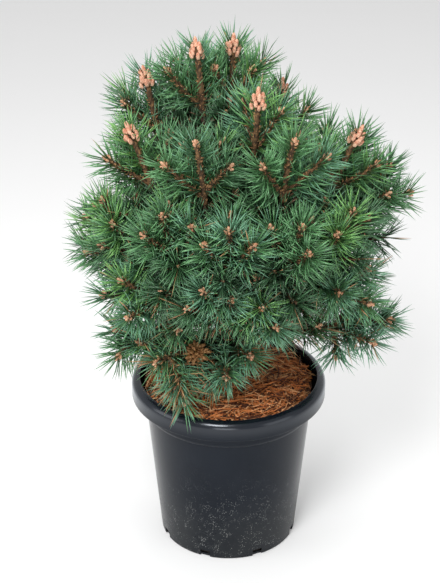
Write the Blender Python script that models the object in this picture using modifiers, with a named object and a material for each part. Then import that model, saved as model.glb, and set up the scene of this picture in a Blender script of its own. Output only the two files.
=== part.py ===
"""Mugo pine in a black nursery pot, as an assembly of separate solids.

Units are metres and +Z is up. The origin is the middle of the pot's underside. The plant's front
faces -Y, and its right-hand side lies at +X. An azimuth is an angle round the Z axis from +X, so
the front is at -90 degrees. Run with: blender --background --python part.py
"""
import math
import random
from collections import namedtuple

import bmesh
import bpy
from mathutils import Matrix, Vector, geometry, noise

# The gap that every piece keeps to its neighbour
CLEARANCE = 0.0003

# Pot: a thin tapering tub with a collar, a hanging rim and notches round the foot
POT_HEIGHT = 0.2945
POT_FOOT_RADIUS = 0.1148
POT_COLLAR_RADIUS = 0.1372
POT_SHOULDER_RADIUS = 0.1405
POT_COLLAR_HEIGHT = 0.237
POT_COLLAR_STEP = 0.003
POT_WALL = 0.0025
POT_FLOOR = 0.004
POT_SIDES = 36
RIM_RADIUS = 0.161
RIM_MOUTH_RADIUS = 0.1474
RIM_HANG = 0.0325
RIM_ROUND = 0.007
RIM_ARC_STEPS = 2
RIM_UNDERCUT = 0.008
NOTCH_COUNT = 8
NOTCH_WIDTH = 0.017
NOTCH_HEIGHT = 0.013
NOTCH_DEPTH = 0.008
NOTCH_TURN = 25

# Root ball and the litter of dead needles on it
SOIL_TOP = 0.262
LITTER_SIDES = 24
LITTER_RINGS = 3
LITTER_EDGE_TOP = 0.277
LITTER_MOUND = 0.008
LITTER_ROUGHNESS = 0.0025
LITTER_GRAIN = 34.0

# Trunk: a short stem with a root flare that runs up inside the crown
TRUNK_TOP = 0.625
TRUNK_FOOT_RADIUS = 0.0165
TRUNK_TIP_RADIUS = 0.0085
TRUNK_FLARE = 0.007
TRUNK_FLARE_HEIGHT = 0.022
TRUNK_LEAN = (-0.014, 0.012)
TRUNK_SWAY = 0.006
TRUNK_POINTS = 10
TRUNK_BEVEL = 3

# Boughs: one tapering limb to each mass of foliage
BOUGH_LOWEST = 0.318
BOUGH_HIGHEST = 0.608
BOUGH_STAGGER = 0.016
STAGGER_ORDER = (0, 1, -1)
STEM_DROP = 0.028
BOUGH_BASE_RADIUS = 0.0055
BOUGH_TIP_RADIUS = 0.0040
BOUGH_BEND = 0.45
BOUGH_STRAIGHT = 0.006
BOUGH_POINTS = 7
BOUGH_BEVEL = 1

# Crown: rings of masses. A leader's azimuth is in degrees, its rise says how far its tip stands
# above the ring's height, its roll turns the whorl of side shoots round it, and its inset draws it
# in from the ring's reach. The masses of the topmost ring grow on the trunk's own tip, and every
# other mass has a bough.
CROWN_BOTTOM = 0.36
CROWN_TOP = 0.85
CROWN_SHIFT = 0.014
STEEPEST_SHOOT = 84
STEEPNESS_CURVE = 0.7
REACH_LOST_TO_RISE = 0.5
Leader = namedtuple("Leader", "azimuth rise roll inset", defaults=(0.0,))
Ring = namedtuple("Ring", "name height reach leaders")
RINGS = (
    Ring("apex", 0.845, 0.072, (
        Leader(162, 0.008, 10), Leader(96, -0.004, 60), Leader(-72, -0.034, 200))),
    Ring("shoulder", 0.765, 0.168, (
        Leader(-159, -0.015, 60), Leader(-112, 0.000, 40), Leader(-62, 0.000, 60),
        Leader(-9, -0.033, 60), Leader(66, -0.026, 0), Leader(112, 0.000, 30),
        Leader(163, 0.035, 0))),
    Ring("waist", 0.655, 0.222, (
        Leader(-155, -0.005, 90), Leader(-121, 0.010, 60), Leader(-94, 0.003, 90),
        Leader(-66, 0.000, 150), Leader(-41, 0.000, 90), Leader(4, 0.006, 60, -0.018),
        Leader(58, -0.010, 0), Leader(117, 0.000, 60), Leader(178, -0.080, 0, 0.022))),
    Ring("belly", 0.545, 0.226, (
        Leader(-141, -0.005, 100), Leader(-104, 0.012, 70), Leader(-80, -0.022, 0, 0.036),
        Leader(-30, 0.000, 60), Leader(40, -0.025, 30), Leader(106, -0.035, 0))),
)

# Low boughs that stand apart from the rings: one droops over the rim, one lies over the litter,
# a long one reaches out to the right and one hangs at the left
LowBough = namedtuple("LowBough", "name azimuth height reach pitch roll sides")
LOW_BOUGHS = (
    LowBough("drooping", -136, 0.385, 0.178, 4, 250, 3),
    LowBough("low_front", -98, 0.362, 0.132, -6, 140, 2),
    LowBough("long_right", -10, 0.418, 0.248, 14, 90, 3),
    LowBough("low_left", -165, 0.407, 0.203, 24, 60, 3),
)

# Shoots of one mass: a leader with a candle, and side shoots in a whorl round its foot
LEADER_LENGTH = 0.110
SIDE_LENGTH = 0.092
SIDE_SPREAD_CLOSE = 32
SIDE_SPREAD_OPEN = 44
SIDE_LIFT = 0.22
SIDE_FOOT = 0.012
WHORL_DEPTH = 0.022
WHORL_RADIUS = 0.009
SIDES_CLOSE = 3
SIDES_OPEN = 5
OPEN_GAP = 42
SIDE_TRIMS = (1.0, 0.85, 0.7, 0.55)
CORE_SIDES = 4
CORE_RADIUS = 0.0072
CORE_TIP_RADIUS = 0.0058
CANDLE_LENGTH = 0.030
CANDLE_RADIUS = 0.0075
CANDLE_SIDES = 4

# Needles: pointed three-sided spikes, each standing for a few needles of the real shoot. They stand
# on the flat sides of their core in turn.
ROW_ORDER = (0, 2, 1, 3)
ROW_JITTER = 14
NEEDLES_LEADER = 10
NEEDLES_SIDE = 5
NEEDLE_SIDES = 3
NEEDLE_LENGTH = 0.058
NEEDLE_RADIUS = 0.0040
NEEDLE_FIRST = 0.30
NEEDLE_LAST = 0.90
NEEDLE_OPEN_ANGLE = 62
NEEDLE_TIP_ANGLE = 33
NEEDLE_JITTER = 7
NEEDLE_SAMPLES = 6
MASS_CENTRE = 0.62
MASS_MARGIN = 0.0012
LIMB_MARGIN = 0.0022
GROUND_MARGIN = 0.004
SEED = 41

COLOURS = {
    "pot": ((0.016, 0.020, 0.027), 0.42),
    "soil": ((0.060, 0.038, 0.024), 0.95),
    "litter": ((0.300, 0.130, 0.050), 0.90),
    "bark": ((0.170, 0.090, 0.050), 0.88),
    "needles": ((0.045, 0.130, 0.055), 0.55),
}


def clear_scene():
    """Remove every object, so that the file holds this plant alone."""
    for item in list(bpy.data.objects):
        bpy.data.objects.remove(item, do_unlink=True)


def make_collection(name):
    """Return a new collection linked to the scene."""
    group = bpy.data.collections.new(name)
    bpy.context.scene.collection.children.link(group)
    return group


def make_material(name):
    """Return the Principled material of a finish in COLOURS."""
    colour, roughness = COLOURS[name]
    material = bpy.data.materials.new(name)
    material.use_nodes = True
    shader = material.node_tree.nodes["Principled BSDF"]
    shader.inputs["Base Color"].default_value = (*colour, 1.0)
    shader.inputs["Roughness"].default_value = roughness
    shader.inputs["Metallic"].default_value = 0.0
    return material


def add_object(name, mesh, group, material=None):
    """Link a mesh to a collection as an object, with its material."""
    item = bpy.data.objects.new(name, mesh)
    group.objects.link(item)
    if material:
        mesh.materials.append(material)
    return item


def as_guide(item):
    """Mark an object as a cutter, which is no part of the plant."""
    item.hide_render = True
    item.display_type = "WIRE"


def evaluated_mesh(item):
    """Return an object's mesh with its modifiers, in world space."""
    graph = bpy.context.evaluated_depsgraph_get()
    shape = item.evaluated_get(graph)
    mesh = bpy.data.meshes.new_from_object(shape)
    mesh.transform(item.matrix_world)
    return mesh


def profile_object(name, points, steps, group, material):
    """Turn a half section in the XZ plane about the Z axis with a Screw modifier."""
    mesh = bpy.data.meshes.new(name)
    section = bmesh.new()
    corners = [section.verts.new((radius, 0.0, height)) for radius, height in points]
    for first, second in zip(corners, corners[1:]):
        section.edges.new((first, second))
    section.to_mesh(mesh)
    section.free()
    item = add_object(name, mesh, group, material)
    screw = item.modifiers.new("turn", "SCREW")
    screw.axis = "Z"
    screw.steps = steps
    screw.render_steps = steps
    screw.use_merge_vertices = True
    screw.merge_threshold = 0.0001
    return item


def cut_clear(item, cutter):
    """Cut a piece clear of its neighbour, with the neighbour's slightly thicker copy."""
    cut = item.modifiers.new("clearance", "BOOLEAN")
    cut.operation = "DIFFERENCE"
    cut.object = cutter


def blend(start, end, share):
    """Value between two numbers."""
    return start + (end - start) * share


def pot_outer_radius(height):
    """Radius of the pot's tapering body below the collar."""
    return blend(POT_FOOT_RADIUS, POT_COLLAR_RADIUS, height / POT_COLLAR_HEIGHT)


def pot_inner_radius(height):
    """Radius of the pot's inner wall, which flares above the collar to the mouth."""
    if height <= POT_COLLAR_HEIGHT:
        return pot_outer_radius(height) - POT_WALL
    share = (height - POT_COLLAR_HEIGHT) / (POT_HEIGHT - RIM_ROUND - POT_COLLAR_HEIGHT)
    return blend(POT_COLLAR_RADIUS - POT_WALL, RIM_MOUTH_RADIUS, share ** 2)


def arc(centre, radius, start, end, steps):
    """Points of an arc in a section, angles in degrees from the outward direction."""
    angles = [math.radians(blend(start, end, i / steps)) for i in range(steps + 1)]
    return [(centre[0] + radius * math.cos(a), centre[1] + radius * math.sin(a)) for a in angles]


def pot_profile():
    """Half section of the pot: up the inner wall, over the rim and down the outside."""
    mouth_height = POT_HEIGHT - RIM_ROUND
    rim_low = POT_HEIGHT - RIM_HANG
    heights = (POT_FLOOR, POT_COLLAR_HEIGHT, blend(POT_COLLAR_HEIGHT, mouth_height, 0.6), mouth_height)
    points = [(0.0, POT_FLOOR)]
    points += [(pot_inner_radius(height), height) for height in heights]
    roll = RIM_ROUND * 0.6
    points += arc((RIM_MOUTH_RADIUS + roll, POT_HEIGHT - roll), roll, 150, 90, RIM_ARC_STEPS)
    points += arc((RIM_RADIUS - RIM_ROUND, mouth_height), RIM_ROUND, 70, 0, RIM_ARC_STEPS)
    points += [
        (RIM_RADIUS, rim_low),
        (RIM_RADIUS - POT_WALL, rim_low),
        (RIM_RADIUS - POT_WALL - 0.001, mouth_height - RIM_UNDERCUT),
        (POT_SHOULDER_RADIUS + 0.0045, mouth_height - RIM_UNDERCUT),
        (POT_SHOULDER_RADIUS, rim_low),
        (POT_COLLAR_RADIUS + POT_COLLAR_STEP, POT_COLLAR_HEIGHT + 0.002),
        (POT_COLLAR_RADIUS, POT_COLLAR_HEIGHT),
        (POT_FOOT_RADIUS + 0.0012, 0.004),
        (POT_FOOT_RADIUS - 0.0016, 0.0),
        (0.0, 0.0),
    ]
    return points


def make_pot(parts, guides, material):
    """Pot with drainage notches cut through the foot of its wall."""
    pot = profile_object("pot", pot_profile(), POT_SIDES, parts, material)
    cutters = bmesh.new()
    for index in range(NOTCH_COUNT):
        turn = math.radians(360 * index / NOTCH_COUNT + NOTCH_TURN)
        box = bmesh.ops.create_cube(cutters, size=1.0)["verts"]
        size = Vector((NOTCH_DEPTH, NOTCH_WIDTH, NOTCH_HEIGHT * 2))
        bmesh.ops.scale(cutters, vec=size, verts=box)
        bmesh.ops.translate(cutters, vec=(POT_FOOT_RADIUS, 0.0, 0.0), verts=box)
        for corner in box:
            x, y, z = corner.co
            corner.co = (x * math.cos(turn) - y * math.sin(turn), x * math.sin(turn) + y * math.cos(turn), z)
    mesh = bpy.data.meshes.new("drainage_notches")
    cutters.to_mesh(mesh)
    cutters.free()
    notches = add_object("drainage_notches", mesh, guides)
    as_guide(notches)
    cut_clear(pot, notches)
    return pot


def make_root_ball(parts, material):
    """Root ball that fills the pot up to the litter."""
    floor = POT_FLOOR + CLEARANCE
    points = [
        (0.0, SOIL_TOP),
        (pot_inner_radius(SOIL_TOP) - 2 * CLEARANCE, SOIL_TOP),
        (pot_inner_radius(POT_COLLAR_HEIGHT) - 2 * CLEARANCE, POT_COLLAR_HEIGHT),
        (pot_inner_radius(NOTCH_HEIGHT + 0.004) - NOTCH_DEPTH / 2, NOTCH_HEIGHT + 0.004),
        (pot_inner_radius(floor) - NOTCH_DEPTH / 2, floor),
        (0.0, floor),
    ]
    return profile_object("root_ball", points, POT_SIDES, parts, material)


def litter_height(radius):
    """Height of the litter's surface, which is heaped a little round the trunk."""
    share = radius / pot_inner_radius(LITTER_EDGE_TOP)
    return LITTER_EDGE_TOP + LITTER_MOUND * (1.0 - share ** 2)


def make_litter(parts, trunk_cutter, material):
    """Layer of dead needles on the root ball, with a hole that the trunk stands in."""
    under = SOIL_TOP + CLEARANCE
    edge = pot_inner_radius(under) - 2 * CLEARANCE
    radii = [edge * ring / LITTER_RINGS for ring in range(LITTER_RINGS + 1)]
    points = [(radius, litter_height(radius)) for radius in radii] + [(edge, under), (0.0, under)]
    litter = profile_object("litter", points, LITTER_SIDES, parts, material)
    mesh = evaluated_mesh(litter)
    litter.modifiers.clear()
    litter.data = mesh
    for corner in mesh.vertices:
        if corner.co.z > under + CLEARANCE:
            corner.co.z += LITTER_ROUGHNESS * noise.noise(corner.co * LITTER_GRAIN)
    cut_clear(litter, trunk_cutter)
    return litter


def limb_curve(name, points, radii, bevel, group):
    """Tube along points, with a radius at each, as a curve with filled caps."""
    data = bpy.data.curves.new(name, "CURVE")
    data.dimensions = "3D"
    data.bevel_depth = 1.0
    data.bevel_resolution = bevel
    data.use_fill_caps = True
    line = data.splines.new("POLY")
    line.points.add(len(points) - 1)
    for knot, place, radius in zip(line.points, points, radii):
        knot.co = (*place, 1.0)
        knot.radius = radius
    item = bpy.data.objects.new(name, data)
    group.objects.link(item)
    return item


def limb_object(name, points, radii, bevel, group, material=None):
    """Mesh tube along points, closed at both ends."""
    curve = limb_curve(name + "_line", points, radii, bevel, group)
    bpy.context.view_layer.update()
    mesh = evaluated_mesh(curve)
    data = curve.data
    bpy.data.objects.remove(curve, do_unlink=True)
    bpy.data.curves.remove(data)
    tube = bmesh.new()
    tube.from_mesh(mesh)
    bmesh.ops.remove_doubles(tube, verts=tube.verts, dist=0.00001)
    bmesh.ops.recalc_face_normals(tube, faces=tube.faces)
    tube.to_mesh(mesh)
    tube.free()
    mesh.materials.clear()
    return add_object(name, mesh, group, material)


def trunk_point(height):
    """Middle of the trunk at a height: upright at its foot, then leaning with a slight sway."""
    share = (height - SOIL_TOP) / (TRUNK_TOP - SOIL_TOP)
    bend = share ** 2 * (3 - 2 * share)
    sway = TRUNK_SWAY * math.sin(math.pi * share) ** 2
    return Vector((TRUNK_LEAN[0] * bend + sway, TRUNK_LEAN[1] * bend, height))


def trunk_radius(height):
    """Radius of the trunk at a height, with the root flare at its foot."""
    share = (height - SOIL_TOP) / (TRUNK_TOP - SOIL_TOP)
    flare = TRUNK_FLARE * math.exp(-(height - SOIL_TOP) / TRUNK_FLARE_HEIGHT)
    return blend(TRUNK_FOOT_RADIUS, TRUNK_TIP_RADIUS, share) + flare


def trunk_heights():
    """Heights of the trunk's rings, closer together in the root flare."""
    foot = SOIL_TOP + CLEARANCE
    shares = [(i / (TRUNK_POINTS - 1)) ** 1.5 for i in range(TRUNK_POINTS)]
    return [blend(foot, TRUNK_TOP, share) for share in shares]


def make_trunk(parts, guides, material):
    """Trunk and a slightly thicker copy of it that cuts the pieces round it clear."""
    heights = trunk_heights()
    points = [trunk_point(height) for height in heights]
    radii = [trunk_radius(height) for height in heights]
    trunk = limb_object("trunk", points, radii, TRUNK_BEVEL, parts, material)
    points[0].z -= 2 * CLEARANCE
    points[-1].z += CLEARANCE
    loose_radii = [radius + 2 * CLEARANCE for radius in radii]
    cutter = limb_object("trunk_clearance", points, loose_radii, TRUNK_BEVEL, guides)
    as_guide(cutter)
    return trunk, cutter


def direction(azimuth, pitch):
    """Unit vector at an azimuth and a pitch above the level, in degrees."""
    turn, lift = math.radians(azimuth), math.radians(pitch)
    return Vector((math.cos(turn) * math.cos(lift), math.sin(turn) * math.cos(lift), math.sin(lift)))


def shoot_pitch(height):
    """Shoots stand upright at the top of the crown and lie nearly level at its foot."""
    share = max(0.0, (height - CROWN_BOTTOM) / (CROWN_TOP - CROWN_BOTTOM))
    return STEEPEST_SHOOT * share ** STEEPNESS_CURVE


def side_frame(axis):
    """Two unit vectors square to an axis: one level, one upward."""
    level = axis.cross(Vector((0, 0, 1)))
    level = level.normalized() if level.length > 0.001 else Vector((1, 0, 0))
    return level, level.cross(axis).normalized()


def cone_direction(axis, spread, roll):
    """Unit vector at an angle from an axis, turned round it by a roll, in degrees."""
    level, upward = side_frame(axis)
    turn, lean = math.radians(roll), math.radians(spread)
    return axis * math.cos(lean) + (level * math.cos(turn) + upward * math.sin(turn)) * math.sin(lean)


Mass = namedtuple("Mass", "name tip axis fork centre roll sides start has_bough")


def make_mass(name, azimuth, height, reach, pitch, roll, sides, stagger):
    """Places of one mass: its leader's tip and axis, its fork and its bough's start."""
    level = direction(azimuth, 0.0)
    tip = Vector((level.x * reach + CROWN_SHIFT, level.y * reach, height))
    axis = direction(azimuth, pitch)
    fork = tip - axis * LEADER_LENGTH
    centre = fork + axis * (LEADER_LENGTH * MASS_CENTRE)
    has_bough = not name.startswith(RINGS[0].name)
    share = max(0.0, (height - CROWN_BOTTOM) / (CROWN_TOP - CROWN_BOTTOM))
    if has_bough:
        start = blend(BOUGH_LOWEST, BOUGH_HIGHEST, share) + stagger * BOUGH_STAGGER
    else:
        start = TRUNK_TOP - STEM_DROP + max(0, stagger) * BOUGH_STAGGER
    return Mass(name, tip, axis, fork, centre, roll, sides, start, has_bough)


def neighbour_gap(azimuths, index):
    """Half of the angle between the two neighbours of one leader in its ring."""
    before = azimuths[index - 1]
    after = azimuths[(index + 1) % len(azimuths)]
    return ((after - before) % 360 or 360) / 2


def crown_masses():
    """Every mass of the crown, worked out from the rings and the low boughs."""
    masses = []
    for ring in RINGS:
        azimuths = [leader.azimuth for leader in ring.leaders]
        for index, leader in enumerate(ring.leaders):
            height = ring.height + leader.rise
            reach = ring.reach - REACH_LOST_TO_RISE * leader.rise - leader.inset
            sides = SIDES_OPEN if neighbour_gap(azimuths, index) > OPEN_GAP else SIDES_CLOSE
            masses.append(make_mass(f"{ring.name}_{index + 1}", leader.azimuth, height, reach,
                                    shoot_pitch(height), leader.roll, sides, STAGGER_ORDER[index % 3]))
    for index, low in enumerate(LOW_BOUGHS):
        masses.append(make_mass(low.name, low.azimuth, low.height, low.reach,
                                low.pitch, low.roll, low.sides, index % 2))
    return masses


def bough_line(mass):
    """Points of a bough: out of the trunk, bending up, then straight along its mass's axis."""
    start = trunk_point(mass.start)
    knee = mass.fork - mass.axis * BOUGH_STRAIGHT
    bend = knee - mass.axis * ((knee - start).length * BOUGH_BEND)
    points = []
    for i in range(BOUGH_POINTS - 1):
        share = i / (BOUGH_POINTS - 2)
        points.append(start * (1 - share) ** 2 + bend * (2 * share * (1 - share)) + knee * share ** 2)
    return points + [mass.fork]


def bough_radii():
    """Radii along a bough, thick at the trunk."""
    last = BOUGH_POINTS - 1
    return [blend(BOUGH_BASE_RADIUS, BOUGH_TIP_RADIUS, i / last) for i in range(BOUGH_POINTS)]


def make_bough(mass, parts, trunk_cutter, material):
    """Bough seated on the trunk that carries it."""
    bough = limb_object("bough_" + mass.name, bough_line(mass), bough_radii(), BOUGH_BEVEL, parts, material)
    cut_clear(bough, trunk_cutter)
    return bough


class Space:
    """The room that one mass may fill: its own cell of the crown, clear of limbs, pot and litter."""

    def __init__(self, mass, masses, limbs):
        self.walls = []
        for other in masses:
            if other is not mass:
                toward = (other.centre - mass.centre).normalized()
                self.walls.append(((other.centre + mass.centre) / 2, toward))
        self.limbs = limbs

    def in_cell(self, point):
        """True where a point is nearer to this mass's centre than to any other."""
        return all((point - middle).dot(toward) < -MASS_MARGIN for middle, toward in self.walls)

    def off_limbs(self, point, radius):
        """True where a ball round a point touches no limb."""
        for start, end, thickness in self.limbs:
            along = end - start
            share = max(0.0, min(1.0, (point - start).dot(along) / along.length_squared))
            if (point - start - along * share).length < thickness + radius + LIMB_MARGIN:
                return False
        return True

    def off_pot(self, point):
        """True above the rim, outside it, or over the litter within it."""
        reach = math.hypot(point.x, point.y)
        if point.z > POT_HEIGHT + GROUND_MARGIN or reach > RIM_RADIUS + GROUND_MARGIN:
            return True
        over_litter = point.z > LITTER_EDGE_TOP + LITTER_MOUND + GROUND_MARGIN
        return over_litter and reach < RIM_MOUTH_RADIUS - GROUND_MARGIN

    def holds(self, start, end, radius, first_share):
        """True where a straight piece stays in this space, from a first share of its length on."""
        for i in range(NEEDLE_SAMPLES):
            share = blend(first_share, 1.0, i / (NEEDLE_SAMPLES - 1))
            point = start.lerp(end, share)
            if not (self.off_pot(point) and self.off_limbs(point, radius * (1 - share))):
                return False
        level, upward = side_frame((end - start).normalized())
        first = start.lerp(end, first_share)
        corners = [first + way * radius for way in (level, upward, -level, -upward)]
        return all(self.in_cell(point) for point in corners + [end])


def limb_segments(masses):
    """Straight stretches of the trunk, every bough and the foot of every whorl, with their thickness."""
    heights = trunk_heights()
    lines = [([trunk_point(height) for height in heights], [trunk_radius(height) for height in heights])]
    lines += [(bough_line(mass), bough_radii()) for mass in masses]
    segments = [(mass.fork, mass.fork + mass.axis * WHORL_DEPTH, WHORL_RADIUS) for mass in masses]
    for points, radii in lines:
        segments += list(zip(points, points[1:], radii))
    return segments


def spike(name, start, end, radius, tip_radius, sides, group):
    """Tapering cone or frustum between two points, as one closed body."""
    axis = end - start
    shape = bmesh.new()
    bmesh.ops.create_cone(shape, cap_ends=True, segments=sides, radius1=radius, radius2=tip_radius,
                          depth=axis.length)
    level, upward = side_frame(axis.normalized())
    turn = Matrix((upward, level, axis.normalized())).transposed().to_4x4()
    turn.translation = (start + end) / 2
    bmesh.ops.transform(shape, matrix=turn, verts=shape.verts)
    mesh = bpy.data.meshes.new(name)
    shape.to_mesh(mesh)
    shape.free()
    return add_object(name, mesh, group)


def mass_shoots(mass, space):
    """Core lines of a mass: the leader, then the side shoots that fit its space."""
    foot = mass.fork + mass.axis * (2 * CLEARANCE if mass.has_bough else -2 * CLEARANCE)
    shoots = [(foot, mass.tip)]
    origin = mass.fork + mass.axis * SIDE_FOOT
    spread = SIDE_SPREAD_OPEN if mass.sides == SIDES_OPEN else SIDE_SPREAD_CLOSE
    for index in range(mass.sides):
        roll = mass.roll + 360 * index / mass.sides
        axis = cone_direction(mass.axis, spread, roll) + Vector((0, 0, SIDE_LIFT)) * mass.axis.z
        axis.normalize()
        for trim in SIDE_TRIMS:
            tip = origin + axis * (SIDE_LENGTH * trim)
            if space.holds(origin, tip, CORE_TIP_RADIUS, 0.35):
                shoots.append((origin, tip))
                break
    return shoots


def off_siblings(start, end, shoots, own):
    """True where a needle passes clear of the mass's other shoots."""
    for number, (foot, tip) in enumerate(shoots):
        if number != own:
            near = geometry.intersect_line_line(start, end, foot, tip)
            if near and (near[0] - near[1]).length < CORE_RADIUS + NEEDLE_RADIUS:
                along = (near[0] - start).dot(end - start) / (end - start).length_squared
                across = (near[1] - foot).dot(tip - foot) / (tip - foot).length_squared
                if 0 < along < 1 and -0.1 < across < 1.1:
                    return False
    return True


def shoot_needles(shoots, own, count, space, dice):
    """Roots and tips of one shoot's needles, which open at its foot and close round its bud."""
    start, tip = shoots[own]
    axis = (tip - start).normalized()
    row_step = 360 / CORE_SIDES
    needles = []
    for i in range(count):
        share = blend(NEEDLE_FIRST, NEEDLE_LAST, i / (count - 1))
        spread = blend(NEEDLE_OPEN_ANGLE, NEEDLE_TIP_ANGLE, share ** 1.5) + dice.uniform(-1, 1) * NEEDLE_JITTER
        roll = row_step * (ROW_ORDER[i % CORE_SIDES] + 0.5) + dice.uniform(-1, 1) * ROW_JITTER
        way = cone_direction(axis, spread, roll)
        root = start.lerp(tip, share)
        end = root + way * NEEDLE_LENGTH
        if space.holds(root, end, NEEDLE_RADIUS, 0.2) and off_siblings(root, end, shoots, own):
            needles.append((root, end))
    return needles


def face_bodies(shape):
    """Sets of faces that are joined edge to edge."""
    waiting = set(shape.faces)
    bodies = []
    while waiting:
        first = waiting.pop()
        body = {first}
        stack = [first]
        while stack:
            for edge in stack.pop().edges:
                for face in edge.link_faces:
                    if face not in body:
                        body.add(face)
                        stack.append(face)
        waiting -= body
        bodies.append(body)
    return bodies


def keep_largest_body(mesh):
    """Drop loose scraps and sealed hollows, and say whether what stays is closed."""
    shape = bmesh.new()
    shape.from_mesh(mesh)
    bodies = face_bodies(shape)
    largest = max(bodies, key=len)
    scraps = [face for face in shape.faces if face not in largest]
    bmesh.ops.delete(shape, geom=scraps, context="FACES")
    closed = all(len(edge.link_faces) == 2 for edge in shape.edges)
    shape.to_mesh(mesh)
    shape.free()
    return closed


def fuse(stem, group, solver):
    """Join a stem with every object of a collection by one Boolean union."""
    join = stem.modifiers.new("fuse", "BOOLEAN")
    join.operation = "UNION"
    join.operand_type = "COLLECTION"
    join.collection = group
    join.solver = solver
    bpy.context.view_layer.update()
    mesh = evaluated_mesh(stem)
    stem.modifiers.remove(join)
    return mesh


def make_stem(mass, leader, parts):
    """The one stem of a mass: its leader's core, or a limb of its own from the trunk's tip."""
    name = "foliage_" + mass.name
    if mass.has_bough:
        return spike(name, *leader, CORE_RADIUS, CORE_TIP_RADIUS, CORE_SIDES, parts)
    return limb_object(name, bough_line(mass), bough_radii(), BOUGH_BEVEL, parts)


def make_foliage(mass, space, parts, trunk_cutter, material, dice):
    """One mass: a stem with side shoots, a candle and needles, fused into one body."""
    shoots = mass_shoots(mass, space)
    cores = shoots[1:] if mass.has_bough else shoots
    pieces = [(start, tip, CORE_RADIUS, CORE_TIP_RADIUS, CORE_SIDES) for start, tip in cores]
    pieces.append((mass.tip - mass.axis * 0.004, mass.tip + mass.axis * CANDLE_LENGTH,
                   CANDLE_RADIUS, CANDLE_RADIUS * 0.3, CANDLE_SIDES))
    for own in range(len(shoots)):
        count = NEEDLES_SIDE if own else NEEDLES_LEADER
        needles = shoot_needles(shoots, own, count, space, dice)
        pieces += [(root, end, NEEDLE_RADIUS, 0.0, NEEDLE_SIDES) for root, end in needles]
    group = make_collection("pieces_of_" + mass.name)
    stem = make_stem(mass, shoots[0], parts)
    for number, (start, end, radius, tip_radius, sides) in enumerate(pieces):
        spike(f"piece_{number}", start, end, radius, tip_radius, sides, group)
    for solver in ("EXACT", "MANIFOLD"):
        mesh = fuse(stem, group, solver)
        if keep_largest_body(mesh):
            break
    for item in list(group.objects):
        bpy.data.objects.remove(item, do_unlink=True)
    bpy.data.collections.remove(group)
    stem.data = mesh
    mesh.materials.clear()
    mesh.materials.append(material)
    if not mass.has_bough:
        cut_clear(stem, trunk_cutter)
    return stem


def smooth_round_pieces(items):
    """Shade the round pieces smooth up to their sharp edges."""
    for item in items:
        item.data.shade_smooth()
        item.data.set_sharp_from_angle(angle=math.radians(40))


def main():
    clear_scene()
    parts = make_collection("mugo_pine")
    guides = make_collection("guides")
    finishes = {name: make_material(name) for name in COLOURS}
    dice = random.Random(SEED)
    make_pot(parts, guides, finishes["pot"])
    make_root_ball(parts, finishes["soil"])
    trunk, trunk_cutter = make_trunk(parts, guides, finishes["bark"])
    litter = make_litter(parts, trunk_cutter, finishes["litter"])
    masses = crown_masses()
    carried = [mass for mass in masses if mass.has_bough]
    boughs = [make_bough(mass, parts, trunk_cutter, finishes["bark"]) for mass in carried]
    limbs = limb_segments(masses)
    for mass in masses:
        make_foliage(mass, Space(mass, masses, limbs), parts, trunk_cutter, finishes["needles"], dice)
    smooth_round_pieces([trunk, litter] + boughs)


main()
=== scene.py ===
"""Looks of a mugo pine in its black nursery pot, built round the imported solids.

Units are metres and +Z is up. The front of the plant faces -Y and its right-hand side lies at +X.
An azimuth is an angle round the Z axis from +X, and every angle is in degrees.
"""
import math
import random
from collections import namedtuple

import bmesh
import bpy
import numpy as np
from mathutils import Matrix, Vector, noise


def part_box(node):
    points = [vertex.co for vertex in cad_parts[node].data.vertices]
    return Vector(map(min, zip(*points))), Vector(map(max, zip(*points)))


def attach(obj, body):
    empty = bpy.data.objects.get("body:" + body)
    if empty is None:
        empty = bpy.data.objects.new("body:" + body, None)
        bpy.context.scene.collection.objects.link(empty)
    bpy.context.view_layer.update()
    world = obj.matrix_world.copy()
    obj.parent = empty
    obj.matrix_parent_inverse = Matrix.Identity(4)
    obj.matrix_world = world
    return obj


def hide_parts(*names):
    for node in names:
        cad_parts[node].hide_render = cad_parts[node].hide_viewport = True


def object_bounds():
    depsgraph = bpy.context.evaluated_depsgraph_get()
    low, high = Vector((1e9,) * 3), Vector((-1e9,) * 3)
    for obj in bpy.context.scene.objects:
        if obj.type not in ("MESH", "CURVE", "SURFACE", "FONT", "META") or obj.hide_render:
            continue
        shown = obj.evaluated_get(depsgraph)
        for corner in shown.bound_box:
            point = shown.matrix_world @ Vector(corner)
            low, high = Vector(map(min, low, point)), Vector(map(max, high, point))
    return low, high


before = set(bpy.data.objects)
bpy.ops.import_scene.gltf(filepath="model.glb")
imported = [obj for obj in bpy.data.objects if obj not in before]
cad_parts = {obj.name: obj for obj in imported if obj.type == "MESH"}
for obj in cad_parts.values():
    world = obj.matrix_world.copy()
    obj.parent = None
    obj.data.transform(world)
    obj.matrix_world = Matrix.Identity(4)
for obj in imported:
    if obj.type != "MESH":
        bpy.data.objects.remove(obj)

solid_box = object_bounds()

# Camera, from the picture's frame of 440 by 583 pixels and the fitted length of its lens
FRAME_HEIGHT = 583
FOCAL_PIXELS = 1528
SENSOR = 36.0
CAMERA_PLACE = (-0.0143, -2.2, 1.577)
CAMERA_PITCH = 27.18
FLOOR_REACH = 14.0

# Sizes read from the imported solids
POT_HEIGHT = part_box("pot")[1].z
RIM_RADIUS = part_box("pot")[1].x
SOIL_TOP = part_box("root_ball")[1].z
TRUNK_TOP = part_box("trunk")[1].z

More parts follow.
